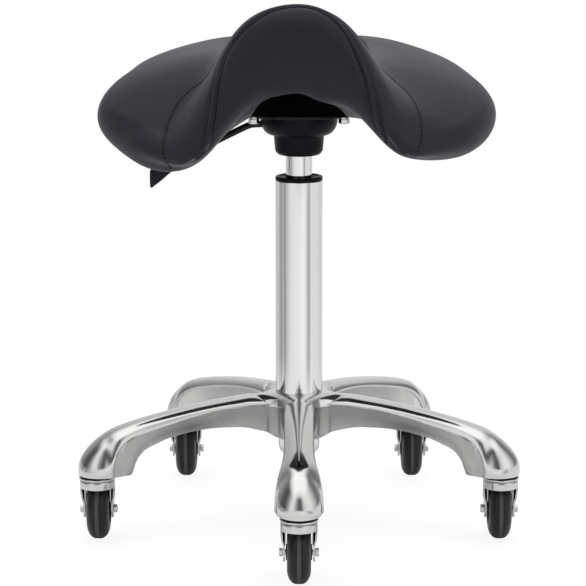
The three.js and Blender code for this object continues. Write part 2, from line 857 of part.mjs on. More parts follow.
function leverPin() {
  const headThickness = 1.4;
  const headRadius = 3.2;
  const seat = leverBossHalf + 2 * fitGap + earThickness;
  const pin = crossRod(leverPinRadius, -seat, seat, pinFacets);
  const heads = [-1, 1].map((side) => {
    const near = side * seat;
    const far = side * (seat + headThickness);
    return crossRod(headRadius, Math.min(near, far), Math.max(near, far), pinFacets);
  });
  return joined(pin, ...heads).rotateZ(quarterTurn).translate(-leverPivot, 0, leverHeight);
}

addPiece("lever_arm", leverArm(), "darkSteel");
addPiece("lever_grip", leverGrip(), "blackPlastic");
addPiece("lever_pin", leverPin(), "bearingSteel");

// Saddle: a net of the foam's middle sheet, from its middle outward and from front to back.
// Each point is a share of half the width, of the length, of the rise, and of the foam's thickness.
const saddleShares = [
  [
    [0, 0, 0.631, 0.489], [0.149, 0.003, 0.564, 0.456], [0.269, 0.009, 0.292, 0.267],
    [0.38, 0.018, -0.047, 0.1], [0.481, 0.036, -0.318, 0.056],
  ],
  [
    [0, 0.115, 0.597, 0.5], [0.173, 0.115, 0.504, 0.467], [0.327, 0.115, 0.157, 0.278],
    [0.476, 0.097, -0.208, 0.189], [0.606, 0.091, -0.343, 0.133],
  ],
  [
    [0, 0.251, 0.462, 0.5], [0.216, 0.251, 0.369, 0.444], [0.423, 0.242, 0.038, 0.289],
    [0.635, 0.218, -0.182, 0.267], [0.861, 0.236, -0.292, 0.211],
  ],
  [
    [0, 0.432, 0.352, 0.367], [0.264, 0.432, 0.292, 0.322], [0.505, 0.432, 0.14, 0.311],
    [0.769, 0.423, 0.038, 0.311], [1, 0.432, -0.106, 0.256],
  ],
  [
    [0, 0.628, 0.326, 0.311], [0.264, 0.628, 0.309, 0.289], [0.505, 0.634, 0.241, 0.311],
    [0.731, 0.64, 0.152, 0.311], [0.942, 0.613, 0.081, 0.233],
  ],
  [
    [0, 0.84, 0.339, 0.289], [0.216, 0.84, 0.339, 0.3], [0.433, 0.834, 0.305, 0.322],
    [0.615, 0.816, 0.267, 0.278], [0.769, 0.779, 0.2, 0.211],
  ],
  [
    [0, 1, 0.343, 0.244], [0.168, 0.994, 0.351, 0.244], [0.317, 0.973, 0.351, 0.222],
    [0.447, 0.937, 0.339, 0.2], [0.563, 0.888, 0.305, 0.156],
  ],
];
const saddleAcross = 24;
const saddleAlong = 19;
const rimRound = 24; // how far from the edge the sides start to turn in
const frontRound = 14;
const uprightShare = 0.35; // how far the thickness follows the sheet at the middle, rather than plumb
const followGain = 1.2; // how soon it follows the sheet fully, towards the sides
const extraGain = 2; // how soon an extra thickness builds up from the rim

function catmull(a, b, c, d, t) {
  return b + (t * (c - a + t * (2 * a - 5 * b + 4 * c - d + t * (3 * (b - c) + d - a)))) / 2;
}

// Rows of values, resampled along the list with the ends carried straight on
function resampled(rows, places) {
  const last = rows.length - 1;
  return places.map((place) => {
    const i = Math.min(Math.floor(place * last), last - 1);
    const t = place * last - i;
    const before = rows[i - 1] ?? rows[i].map((value, k) => 2 * value - rows[i + 1][k]);
    const after = rows[i + 2] ?? rows[i + 1].map((value, k) => 2 * value - rows[i][k]);
    return rows[i].map((value, k) => catmull(before[k], value, rows[i + 1][k], after[k], t));
  });
}

// The sheet's grid: [x, y, z, half thickness] for each place across and along
function saddleSheet() {
  const net = saddleShares.map((row) => {
    const right = row.map(([x, y, z, half]) => [
      (x * seatWidth) / 2,
      y * seatLength - seatFront,
      plateTop + z * seatRise,
      half * foamThickness,
    ]);
    const left = right.slice(1).map(([x, y, z, half]) => [-x, y, z, half]);
    return [...left.reverse(), ...right];
  });
  const shares = (count) => Array.from({ length: count + 1 }, (_, i) => i / count);
  const eased = (count) => shares(count).map((share) => (1 - Math.cos(Math.PI * share)) / 2);
  const placesAlong = eased(saddleAlong);
  const placesAcross = eased(saddleAcross);
  const columns = net[0].map((_, j) => resampled(net.map((row) => row[j]), placesAlong));
  return placesAlong.map((_, i) => resampled(columns.map((column) => column[i]), placesAcross));
}

function distancesFromEnds(points) {
  const runs = [0];
  for (let i = 1; i < points.length; i++) runs.push(runs[i - 1] + points[i].distanceTo(points[i - 1]));
  const total = runs[runs.length - 1];
  return runs.map((run) => [run, total - run]);
}

function roundness(distance, radius) {
  const inward = 1 - Math.min(distance / radius, 1);
  return Math.sqrt(1 - inward * inward);
}

// Top and underside of the saddle, with an extra thickness for the pan's clearance
function saddleSides(extra) {
  const sheet = saddleSheet();
  const middle = sheet.map((row) => row.map(([x, y, z]) => new THREE.Vector3(x, y, z)));
  const acrossRuns = middle.map(distancesFromEnds);
  const alongRuns = middle[0].map((_, j) => distancesFromEnds(middle.map((row) => row[j])));
  const top = [];
  const under = [];
  const directions = [];
  middle.forEach((row, i) => {
    top.push([]);
    under.push([]);
    directions.push([]);
    row.forEach((point, j) => {
      const beside = row[Math.min(j + 1, row.length - 1)];
      const acrossStep = beside.clone().sub(row[Math.max(j - 1, 0)]);
      const ahead = middle[Math.min(i + 1, middle.length - 1)][j];
      const alongStep = ahead.clone().sub(middle[Math.max(i - 1, 0)][j]);
      const normal = acrossStep.cross(alongStep).normalize();
      const span = Math.abs((2 * j) / (row.length - 1) - 1);
      const follow = Math.min(1, mix(uprightShare, 1, span * followGain));
      const direction = normal.multiplyScalar(follow).add(new THREE.Vector3(0, 0, 1 - follow)).normalize();
      const [front, back] = alongRuns[j][i];
      const side = Math.min(...acrossRuns[i][j]);
      const round = roundness(side, rimRound) * roundness(front, frontRound) * roundness(back, rimRound);
      const half = sheet[i][j][3] * round;
      top[i].push(point.clone().addScaledVector(direction, half));
      const more = extra * Math.min(1, round * extraGain);
      under[i].push(point.clone().addScaledVector(direction, -half - more));
      directions[i].push(direction);
    });
  });
  return { top, under, directions };
}

function sheetSolid(upper, lower) {
  const skin = new Skin();
  const rows = upper.length - 1;
  const columns = upper[0].length - 1;
  for (let i = 0; i < rows; i++) {
    for (let j = 0; j < columns; j++) {
      skin.quad(upper[i][j], upper[i][j + 1], upper[i + 1][j + 1], upper[i + 1][j]);
      skin.quad(lower[i][j], lower[i + 1][j], lower[i + 1][j + 1], lower[i][j + 1]);
    }
  }
  for (let j = 0; j < columns; j++) {
    skin.quad(upper[0][j], lower[0][j], lower[0][j + 1], upper[0][j + 1]);
    skin.quad(upper[rows][j], upper[rows][j + 1], lower[rows][j + 1], lower[rows][j]);
  }
  for (let i = 0; i < rows; i++) {
    skin.quad(upper[i][0], upper[i + 1][0], lower[i + 1][0], lower[i][0]);
    skin.quad(upper[i][columns], lower[i][columns], lower[i + 1][columns], upper[i + 1][columns]);
  }
  return skin.geometry();
}

// The moulded pan follows the underside of the foam, and stands on a flat pad over the plate
const panWall = 4;
const panPad = 8;
const panAcrossShare = 0.55; // how much of the underside it covers
const panFrontShare = 0.2;
const panBackShare = 0.86;

const padLow = plateTop + fitGap;
const padHigh = padLow + panPad;

// The round pad of the pan, let into the foam over the plate
function padRoom(gap) {
  return rod(plateRadius + gap, plateLow - foamThickness, padHigh + gap, columnFacets);
}

function seatPan() {
  const { under, directions } = saddleSides(0);
  const rows = under.length - 1;
  const columns = under[0].length - 1;
  const inRow = (i) => i >= Math.round(panFrontShare * rows) && i <= Math.round(panBackShare * rows);
  const inColumn = (j) => Math.abs((2 * j) / columns - 1) <= panAcrossShare;
  const layer = (drop) => {
    const moved = under.map((row, i) =>
      row.map((point, j) => point.clone().addScaledVector(directions[i][j], -drop)),
    );
    return moved.filter((_, i) => inRow(i)).map((row) => row.filter((_, j) => inColumn(j)));
  };
  const shell = sheetSolid(layer(-panWall), layer(panWall + fitGap));
  const pad = rod(plateRadius, padLow, padHigh, columnFacets);
  const { top, under: foam } = saddleSides(fitGap);
  const foamRoom = cutFrom(sheetSolid(top, foam), padRoom(0));
  const above = block(
    [-seatWidth, -seatLength, padLow],
    [seatWidth, seatLength, plateTop + seatRise],
  );
  const boltHoles = seatBoltPlaces().map(([x, y]) => {
    const holeTop = padLow + boltGrip + fitGap;
    const hole = rod(boltRadius + fitGap, padLow - cutOverrun, holeTop, pinFacets);
    return hole.translate(x, y, 0);
  });
  return cutFrom(common(joined(shell, pad), above), foamRoom, ...boltHoles);
}

function saddle() {
  const { top, under } = saddleSides(0);
  return cutFrom(sheetSolid(top, under), padRoom(fitGap));
}

addPiece("seat_cushion", saddle(), "blackLeather");
addPiece("seat_pan", seatPan(), "blackPlastic");

// Casters
const forkRadius = 18.4;
const forkWall = 2;
const forkBand = 8.4; // depth of the hood in front
const cheekHalf = 15.7; // from the wheel's middle to the outside of a cheek, at the axle
const cheekEnd = 10; // cheek below the axle
const cheekBoss = 9.5;
const shinShare = 0.7; // of the boss over the axle, where the cheeks start to widen
const kneeShares = { height: 0.45, width: 0.6, depth: 0.5 }; // from shin to hood
const squareness = { cheek: 4, knee: 2.8, hood: 2 }; // exponents of the sections
const hoodShares = { mouth: 0.75, bend: 0.3 }; // of the fork's radius, in front
const hubHalf = cheekHalf - forkWall - 2 * fitGap;
const flangeRadius = 19.3;
const washerRadius = 18.4;
const neckRadius = 4;
const rivetRadius = 6;
const stemLength = socketDepth - 2 * fitGap;
const stemPoint = 2;
const axleRadius = 3;
const nutFlats = 10;
const nutHeight = 4.4;

function casterStem() {
  return turned(
    [
      [0, rivetLow],
      [rivetRadius, rivetLow],
      [rivetRadius, rivetLow + rivetThickness],
      [neckRadius, rivetLow + rivetThickness],
      [neckRadius, flangeLow],
      [flangeRadius, flangeLow],
      [flangeRadius, flangeTop],
      [stemRadius, flangeTop],
      [stemRadius, footLow + stemLength - stemPoint],
      [stemRadius - stemPoint, footLow + stemLength],
      [0, footLow + stemLength],
    ],
    smallFacets,
  );
}

function casterWasher() {
  const inside = stemRadius + fitGap;
  const high = washerLow + washerThickness;
  return turnedRing(
    [[inside, washerLow], [washerRadius, washerLow], [washerRadius, high], [inside, high]],
    smallFacets,
  );
}

// A stamped hood that turns into two cheeks. Sections are rounded rectangles that grow flatter downwards.
function forkRing(height, halfX, halfY, middleY, power) {
  const count = 12;
  const bulge = (value) => Math.sign(value) * Math.abs(value) ** (2 / power);
  return Array.from({ length: count }, (_, i) => {
    const angle = (fullTurn * (i + 0.5)) / count;
    const [x, y] = [Math.cos(angle), Math.sin(angle)].map(bulge);
    return new THREE.Vector3(halfX * x, middleY + halfY * y, height);
  });
}

function forkBody(inset) {
  const low = axleHeight - cheekEnd - cutOverrun;
  const waist = forkTop - forkBand;
  const shin = axleHeight + cheekBoss * shinShare;
  const knee = mix(shin, waist, kneeShares.height);
  const cheekDepth = cheekBoss + wheelTrail;
  const kneeHalf = mix(cheekHalf, forkRadius, kneeShares.width) - inset;
  const kneeDepth = mix(cheekDepth, forkRadius, kneeShares.depth);
  const hood = forkRadius - inset;
  const edge = inset > 0 ? fitGap : forkPlate;
  const top = inset > 0 ? forkPlateLow : forkTop;
  return lofted([
    forkRing(low, cheekHalf - inset, cheekDepth, wheelTrail, squareness.cheek),
    forkRing(shin, cheekHalf - inset, cheekDepth, wheelTrail, squareness.cheek),
    forkRing(knee, kneeHalf, kneeDepth, wheelTrail / 2, squareness.knee),
    forkRing(waist, hood, hood, 0, squareness.hood),
    forkRing(top - edge, hood, hood, 0, squareness.hood),
    forkRing(top, hood - edge, hood - edge, 0, squareness.hood),
  ]);
}

function forkSide() {
  const bandLow = forkTop - forkBand;
  const reach = forkRadius + cutOverrun;
  const outline = new THREE.Shape();
  outline.moveTo(-reach, bandLow);
  outline.lineTo(-hoodShares.mouth * forkRadius, bandLow);
  outline.quadraticCurveTo(
    -hoodShares.bend * forkRadius,
    bandLow - forkBand,
    wheelTrail - cheekBoss,
    axleHeight,
  );
  outline.absarc(wheelTrail, axleHeight, cheekBoss, Math.PI, 0, false);
  outline.lineTo(forkRadius, bandLow);
  outline.lineTo(reach, bandLow);
  outline.lineTo(reach, forkTop + cutOverrun);
  outline.lineTo(-reach, forkTop + cutOverrun);
  const length = 2 * reach;
  const settings = { depth: length, bevelEnabled: false, curveSegments: 2 };
  const slab = new THREE.ExtrudeGeometry(outline, settings);
  return slab.translate(0, 0, -length / 2).rotateX(quarterTurn).rotateZ(quarterTurn);
}

function casterFork() {
  const reach = forkRadius + cutOverrun;
  const clear = wheelWidth / 2 + runGap;
  const wheelRoom = block([-clear, 0, -cutOverrun], [clear, reach + wheelTrail, rivetLow]);
  const stemHole = rod(neckRadius + fitGap, forkPlateLow - cutOverrun, forkTop + cutOverrun, pinFacets);
  const axleHole = crossRod(axleRadius + fitGap, -reach, reach, pinFacets);
  axleHole.translate(0, wheelTrail, axleHeight);
  return cutFrom(common(forkBody(0), forkSide()), forkBody(forkWall), wheelRoom, stemHole, axleHole);
}

// The tyre has a narrow flat tread, and rounds down to its beads. Its facets lie flat on the floor.
const treadHalf = 2.2;
const beadRadius = 17.5;
const beadThickness = 1.2;
const tyreSteps = 3;

function onAxle(geometry, facets) {
  return geometry.rotateZ(Math.PI / facets).rotateY(quarterTurn).translate(0, wheelTrail, axleHeight);
}

function casterTyre() {
  const tread = axleHeight / Math.cos(Math.PI / wheelFacets);
  const half = wheelWidth / 2;
  const right = Array.from({ length: tyreSteps + 1 }, (_, i) => {
    const angle = (quarterTurn * i) / tyreSteps;
    return [
      beadRadius + (tread - beadRadius) * Math.cos(angle),
      treadHalf + (half - treadHalf) * Math.sin(angle),
    ];
  });
  const left = right.map(([radius, across]) => [radius, -across]).reverse();
  const inside = beadRadius - beadThickness;
  const profile = [[inside, -half], ...left, ...right, [inside, half]];
  return onAxle(turnedRing(profile, wheelFacets), wheelFacets);
}

const coreBossRadius = 8;
const coreInset = 1.5;

function casterWheel() {
  const outside = beadRadius - beadThickness - fitGap;
  const rimHalf = wheelWidth / 2 - coreInset;
  const right = [
    [outside, rimHalf],
    [coreBossRadius, rimHalf],
    [coreBossRadius, hubHalf],
    [axleRadius + fitGap, hubHalf],
  ];
  const left = right.map(([radius, across]) => [radius, -across]).reverse();
  return onAxle(turnedRing([...left, ...right], smallFacets), smallFacets);
}

function axleHead(side) {
  const across = nutFlats / 2 / Math.cos(Math.PI / hexSides);
  const near = side * (cheekHalf + fitGap);
  const far = side * (cheekHalf + fitGap + nutHeight);
  return crossRod(across, Math.min(near, far), Math.max(near, far), hexSides);
}

function axleBolt() {
  const end = cheekHalf + fitGap + nutHeight;
  const shank = crossRod(axleRadius, -end, end - fitGap, pinFacets);
  return joined(shank, axleHead(-1)).translate(0, wheelTrail, axleHeight);
}

function axleNut() {
  const end = cheekHalf + nutHeight + cutOverrun;
  const hole = crossRod(axleRadius + fitGap, 0, end, pinFacets);
  return cutFrom(axleHead(1), hole).translate(0, wheelTrail, axleHeight);
}

const legNames = ["front", "right", "rear_right", "rear_left", "left"];
for (let leg = 0; leg < legCount; leg++) {
  const place = legNames[leg] ?? `leg_${leg + 1}`;
  const angle = leg * sector;
  const caster = new THREE.Group();
  caster.position.set(casterRadius * Math.sin(angle), -casterRadius * Math.cos(angle), 0);
  addPiece(`caster_stem_${place}`, casterStem(), "zinc", caster);
  addPiece(`caster_washer_${place}`, casterWasher(), "blackPlastic", caster);
  addPiece(`fork_${place}`, casterFork(), "zinc", caster);
  addPiece(`axle_bolt_${place}`, axleBolt(), "zinc", caster);
  addPiece(`axle_nut_${place}`, axleNut(), "zinc", caster);
  addPiece(`wheel_core_${place}`, casterWheel(), "blackPlastic", caster);
  addPiece(`tyre_${place}`, casterTyre(), "blackRubber", caster);
  stool.add(caster);
}

// Centre the stool's outline on the origin: its front end is a wheel or a foot, its back end a wheel
const outline = new THREE.Box3().setFromObject(stool);
stool.position.y = -(outline.min.y + outline.max.y) / 2;

export default stool;
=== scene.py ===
import json
import math

import bmesh
import bpy
import numpy as np
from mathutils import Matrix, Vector, kdtree
from mathutils.bvhtree import BVHTree

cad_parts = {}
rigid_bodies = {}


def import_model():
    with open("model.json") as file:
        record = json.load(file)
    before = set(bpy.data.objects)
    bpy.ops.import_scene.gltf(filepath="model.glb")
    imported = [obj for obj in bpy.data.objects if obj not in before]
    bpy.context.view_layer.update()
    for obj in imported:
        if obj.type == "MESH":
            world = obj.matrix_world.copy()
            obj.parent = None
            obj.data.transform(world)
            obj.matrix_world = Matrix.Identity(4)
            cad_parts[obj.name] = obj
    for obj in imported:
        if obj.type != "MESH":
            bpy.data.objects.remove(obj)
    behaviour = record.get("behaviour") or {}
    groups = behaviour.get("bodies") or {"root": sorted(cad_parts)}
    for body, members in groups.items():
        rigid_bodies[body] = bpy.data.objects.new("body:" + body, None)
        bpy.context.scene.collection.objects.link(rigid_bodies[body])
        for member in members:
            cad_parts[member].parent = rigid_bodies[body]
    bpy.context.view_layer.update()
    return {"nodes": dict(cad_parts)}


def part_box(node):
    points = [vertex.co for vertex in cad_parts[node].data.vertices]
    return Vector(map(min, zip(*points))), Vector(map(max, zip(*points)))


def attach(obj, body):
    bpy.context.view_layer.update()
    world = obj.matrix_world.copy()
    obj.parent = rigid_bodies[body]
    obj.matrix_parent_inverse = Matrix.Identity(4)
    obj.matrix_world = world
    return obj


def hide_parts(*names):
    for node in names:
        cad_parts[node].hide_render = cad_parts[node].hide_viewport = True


# Saddle stool, dressed for a still. Sizes are in millimetres and are turned into metres as the meshes are made.
# The column stands at x = 0, columnY; the stool faces -Y.

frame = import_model()
tubeLow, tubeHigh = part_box("outer_tube")
columnY = (tubeLow.y + tubeHigh.y) * 500   # mm
mm = 0.001
legNames = ["front", "right", "rear_right", "rear_left", "left"]
sector = 2 * math.pi / 5


# Shader maths

class Socket:   # an output socket that can be used in sums
    def __init__(self, finish, output):
        self.finish = finish
        self.output = output

    def calc(self, operation, *values):
        return self.finish.add("ShaderNodeMath", {"operation": operation}, dict(enumerate(values)))

    def __add__(self, other):
        return self.calc("ADD", self, other)

    def __radd__(self, other):
        return self.calc("ADD", other, self)

    def __sub__(self, other):
        return self.calc("SUBTRACT", self, other)

    def __rsub__(self, other):
        return self.calc("SUBTRACT", other, self)

    def __mul__(self, other):
        return self.calc("MULTIPLY", self, other)

    def __rmul__(self, other):
        return self.calc("MULTIPLY", other, self)

    def __truediv__(self, other):
        return self.calc("DIVIDE", self, other)

    def __rtruediv__(self, other):
        return self.calc("DIVIDE", other, self)

    def __pow__(self, other):
        return self.calc("POWER", self, other)

    def clipped(self):
        return self.finish.add("ShaderNodeClamp", {}, {0: self})

    def between(self, low, high):   # 0 below low, 1 above high, smooth on the way
        settings = {"interpolation_type": "SMOOTHSTEP"}
        return self.finish.add("ShaderNodeMapRange", settings, {0: self, 1: low, 2: high})


class Finish:   # a material or the world, built node by node
    def __init__(self, name, owner=None):
        self.block = owner or bpy.data.materials.new(name)
        self.block.use_nodes = True
        self.tree = self.block.node_tree
        self.shader = self.tree.nodes.get("Principled BSDF")
        self.column = 0

    def add(self, kind, settings, inputs, output=0):
        node = self.tree.nodes.new(kind)
        self.column += 1
        node.location = (-220 * self.column, -160 * (self.column % 4))
        for key, value in settings.items():
            if key == "stops":
                ramp = node.color_ramp
                while len(ramp.elements) < len(value):
                    ramp.elements.new(0.5)
                for stop, (place, colour) in zip(ramp.elements, value):
                    stop.position, stop.color = place, (*colour, 1)
            else:
                setattr(node, key, value)
        for key, value in inputs.items():
            self.feed(node.inputs[key], value)
        return Socket(self, node.outputs[output])

    def feed(self, target, value):
        if isinstance(value, Socket):
            self.tree.links.new(value.output, target)
        elif isinstance(value, tuple) and len(value) == 3 and len(target.default_value) == 4:
            target.default_value = (*value, 1)
        else:
            target.default_value = value

    def place(self):   # position on the piece, in metres
        return self.add("ShaderNodeTexCoord", {}, {}, "Object")

    def reach(self, where):   # distance from the column, in metres
        flat = self.stretch(self.shifted(where, (0, -columnY * mm, 0)), (1, 1, 0))
        return self.add("ShaderNodeVectorMath", {"operation": "LENGTH"}, {0: flat}, "Value")

    def noise(self, scale, detail=2, roughness=0.5, where=None, distortion=0):
        inputs = {"Vector": where or self.place(), "Scale": scale, "Detail": detail,
                  "Roughness": roughness, "Distortion": distortion}
        return self.add("ShaderNodeTexNoise", {}, inputs)

    def cells(self, scale, where, feature="F1", output="Distance"):
        return self.add("ShaderNodeTexVoronoi", {"feature": feature}, {"Vector": where, "Scale": scale}, output)

    def mix(self, low, high, share):
        return self.add("ShaderNodeMix", {"data_type": "RGBA"}, {0: share, 6: low, 7: high}, 2)

    def stretch(self, vector, factors):
        return self.add("ShaderNodeVectorMath", {"operation": "MULTIPLY"}, {0: vector, 1: factors})

    def shifted(self, vector, other):
        return self.add("ShaderNodeVectorMath", {"operation": "ADD"}, {0: vector, 1: other})

    def bump(self, height, strength, distance, normal=None):
        inputs = {"Height": height, "Strength": strength, "Distance": distance}
        if normal:
            inputs["Normal"] = normal
        return self.add("ShaderNodeBump", {}, inputs)

    def set(self, **values):
        for key, value in values.items():
            self.feed(self.shader.inputs[key.replace("_", " ")], value)
        return self.block


# Finishes

leatherLook = {"dark": (0.0105, 0.0102, 0.0148), "light": (0.0165, 0.016, 0.022),
               "grain": 950, "pores": 2600, "roughness": 0.43, "creaseDepth": 0.0001}


def blackLeather():
    finish = Finish("blackLeather")
    where = finish.place()
    warp = finish.add("ShaderNodeTexNoise", {}, {"Vector": where, "Scale": 160, "Detail": 2}, "Color")
    bent = finish.shifted(where, finish.stretch(warp, (0.0016, 0.0016, 0.0016)))
    grain = finish.cells(leatherLook["grain"], bent, "DISTANCE_TO_EDGE").between(0, 0.16)
    pores = finish.noise(leatherLook["pores"], 2, 0.6, where)
    worn = finish.noise(14, 3, 0.55, where)
    clouds = finish.noise(5.5, 2, 0.5, where)
    tone = (worn * 0.6 + clouds * 0.7 + grain * 0.25 - 0.35).clipped()
    colour = finish.mix(leatherLook["dark"], leatherLook["light"], tone)
    rough = leatherLook["roughness"] + (worn - 0.5) * 0.12 - grain * 0.03 + pores * 0.04
    fine = finish.bump(grain + pores * 0.3, 0.42, leatherLook["creaseDepth"])
    soft = finish.bump(finish.noise(26, 2, 0.5, where), 0.12, 0.0012, fine)
    return finish.set(Base_Color=colour, Roughness=rough, Normal=soft, Specular_IOR_Level=0.16, Sheen_Weight=0.1,
                      Sheen_Roughness=0.45, Sheen_Tint=(0.5, 0.51, 0.56))


def blackThread():
    finish = Finish("blackThread")
    strand = finish.noise(2400, 1, 0.5)
    return finish.set(Base_Color=finish.mix((0.0025, 0.0025, 0.003), (0.007, 0.007, 0.0085), strand), Specular_IOR_Level=0.1,
                      Roughness=0.8 - strand * 0.15, Normal=finish.bump(strand, 0.4, 0.0002))


def polishedAluminium():
    finish = Finish("polishedAluminium")
    where = finish.place()
    haze = finish.noise(18, 3, 0.6, where)
    swirl = finish.noise(420, 2, 0.7, where, 1.5)
    far = finish.reach(where).between(0.09, 0.2)
    colour = finish.mix((0.66, 0.652, 0.645), (0.78, 0.772, 0.762), haze)
    rough = 0.14 - far * 0.06 + haze * 0.05 + (swirl - 0.5) * 0.04   # buffed best on the feet
    return finish.set(Base_Color=colour, Metallic=1.0, Roughness=rough,
                      Normal=finish.bump(finish.noise(38, 2, 0.5, where), 0.06, 0.0006))


def satinAluminium():
    finish = Finish("satinAluminium")
    where = finish.place()
    blast = finish.noise(1500, 2, 0.6, where)
    cloud = finish.noise(22, 3, 0.55, where)
    lines = finish.noise(260, 2, 0.5, finish.stretch(where, (1, 1, 4)))
    cast = finish.mix((0.3, 0.296, 0.294), (0.62, 0.612, 0.6), (cloud * 0.9 + lines * 0.3 - 0.1).clipped())
    # painted shade: the walls are painted dark near the hub and lighter further from the column, towards the feet
    colour = finish.mix(cast, (0.88, 0.868, 0.856), finish.reach(where).between(0.13, 0.21) * 0.75)
    rough = 0.19 + cloud * 0.09 + blast * 0.04
    return finish.set(Base_Color=colour, Metallic=1.0, Roughness=rough,
                      Normal=finish.bump(blast + lines * 0.8, 0.22, 0.0002))


def chrome():
    finish = Finish("chrome")
    where = finish.place()
    fine = finish.noise(60, 2, 0.5, finish.stretch(where, (1, 1, 0.05)))
    colour = finish.mix((0.82, 0.818, 0.815), (0.89, 0.888, 0.884), fine)
    return finish.set(Base_Color=colour, Metallic=1.0, Roughness=0.06 + fine * 0.05,
                      Normal=finish.bump(fine, 0.05, 0.0003))


def platedZinc():
    finish = Finish("platedZinc")
    where = finish.place()
    cloud = finish.noise(70, 3, 0.6, where)
    tiny = finish.noise(900, 2, 0.6, where)
    colour = finish.mix((0.62, 0.62, 0.61), (0.80, 0.80, 0.79), cloud)
    return finish.set(Base_Color=colour, Metallic=1.0, Roughness=0.17 + cloud * 0.12,
                      Normal=finish.bump(tiny, 0.12, 0.0002))


def blackPlastic(name, dark, light):
    finish = Finish(name)
    where = finish.place()
    grain = finish.noise(2200, 3, 0.6, where)
    cloud = finish.noise(35, 2, 0.5, where)
    return finish.set(Base_Color=finish.mix(dark, light, cloud), Roughness=0.3 + grain * 0.1, Specular_IOR_Level=0.09,
                      Normal=finish.bump(grain, 0.25, 0.00012))


def blackCoat():
    finish = Finish("blackCoat")
    where = finish.place()
    orange = finish.noise(700, 2, 0.5, where)
    cloud = finish.noise(50, 2, 0.5, where)
    return finish.set(Base_Color=finish.mix((0.0045, 0.0045, 0.0052), (0.009, 0.009, 0.0105), cloud), Specular_IOR_Level=0.25,
                      Roughness=0.36 + orange * 0.08, Normal=finish.bump(orange, 0.2, 0.0002))


def shadeBlackPlastic():   # the shell under the foam, rough black plastic, painted near-black and without shine as the shade under the cushion
    finish = Finish("shadeBlackPlastic")
    where = finish.place()
    grain = finish.noise(900, 3, 0.6, where)
    cloud = finish.noise(30, 2, 0.5, where)
    return finish.set(Base_Color=finish.mix((0.0007, 0.0007, 0.0009), (0.0016, 0.0016, 0.002), cloud), Specular_IOR_Level=0.0,
                      Roughness=0.62 + grain * 0.15, Normal=finish.bump(grain, 0.3, 0.0002))


def bearingSteel():
    finish = Finish("bearingSteel")
    where = finish.place()
    turned = finish.noise(300, 2, 0.5, finish.stretch(where, (0.3, 0.3, 3)))
    return finish.set(Base_Color=finish.mix((0.38, 0.38, 0.39), (0.56, 0.56, 0.56), turned), Metallic=1.0,
                      Roughness=0.24 + turned * 0.12, Normal=finish.bump(turned, 0.1, 0.0002))


def wheelNylon():
    finish = Finish("wheelNylon")
    where = finish.place()
    dust = finish.noise(45, 4, 0.65, where)
    tiny = finish.noise(1800, 2, 0.6, where)
    side = finish.add("ShaderNodeSeparateXYZ", {}, {"Vector": where})
    stripe = 1 - side.calc("ABSOLUTE", side).between(0.0014, 0.0024)   # a lighter, rougher ring in the middle of the tread
    colour = finish.mix(finish.mix((0.0045, 0.0044, 0.0055), (0.010, 0.0098, 0.0115), dust), (0.055, 0.054, 0.058), stripe)
    return finish.set(Base_Color=colour, Roughness=0.26 + dust * 0.12 + stripe * 0.2, Specular_IOR_Level=0.35, Normal=finish.bump(tiny, 0.15, 0.0001))


looks = {
    "leather": blackLeather(), "thread": blackThread(),
    "polished": polishedAluminium(), "satin": satinAluminium(), "chrome": chrome(), "zinc": platedZinc(),
    "plastic": blackPlastic("blackPlastic", (0.0036, 0.0033, 0.0056), (0.0062, 0.0057, 0.0092)),
    "soft": blackPlastic("softPlastic", (0.011, 0.0108, 0.0142), (0.0165, 0.016, 0.021)), "coat": blackCoat(), "pan": shadeBlackPlastic(), "steel": bearingSteel(), "wheel": wheelNylon(),
}
print("finishes made")


# Mesh tools

def pieceFrom(name, points, faces, looksUsed, body=None, sharp=40, place=(0, 0, 0), faceLooks=None):
    mesh = bpy.data.meshes.new(name)
    mesh.from_pydata([tuple(c * mm for c in p) for p in points], [], [tuple(f) for f in faces])
    for look in looksUsed:
        mesh.materials.append(looks[look])
    if faceLooks is not None:
        mesh.polygons.foreach_set("material_index", faceLooks)
    mesh.validate()
    mesh.shade_smooth()
    mesh.set_sharp_from_angle(angle=math.radians(sharp))
    piece = bpy.data.objects.new(name, mesh)
    bpy.context.scene.collection.objects.link(piece)
    piece.location = Vector(place) * mm
    if body:
        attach(piece, body)
    return piece


def lathed(profile, steps=96, closed=False, centre=(0, 0, 0), axis="Z"):   # profile goes up the outside
    points, faces = [], []
    rings = []
    for radius, height in profile:
        if radius < 1e-6:
            rings.append([len(points)])
            points.append((0, 0, height))
            continue
        rings.append(list(range(len(points), len(points) + steps)))
        for i in range(steps):
            angle = 2 * math.pi * i / steps
            points.append((radius * math.cos(angle), radius * math.sin(angle), height))
    pairs = list(zip(rings, rings[1:] + ([rings[0]] if closed else [])))
    for low, high in pairs[:len(rings) if closed else len(rings) - 1]:
        for i in range(steps):
            j = (i + 1) % steps
            if len(low) == 1 and len(high) == 1:
                continue
            if len(low) == 1:
                faces.append((low[0], high[j], high[i]))
            elif len(high) == 1:
                faces.append((low[i], low[j], high[0]))
            else:
                faces.append((low[i], low[j], high[j], high[i]))
    turn = {"Z": lambda p: p, "X": lambda p: (p[2], p[1], -p[0]), "Y": lambda p: (p[0], p[2], -p[1])}[axis]
    moved = []
    for p in points:
        x, y, z = turn(p)
        moved.append((x + centre[0], y + centre[1], z + centre[2]))
    return moved, faces


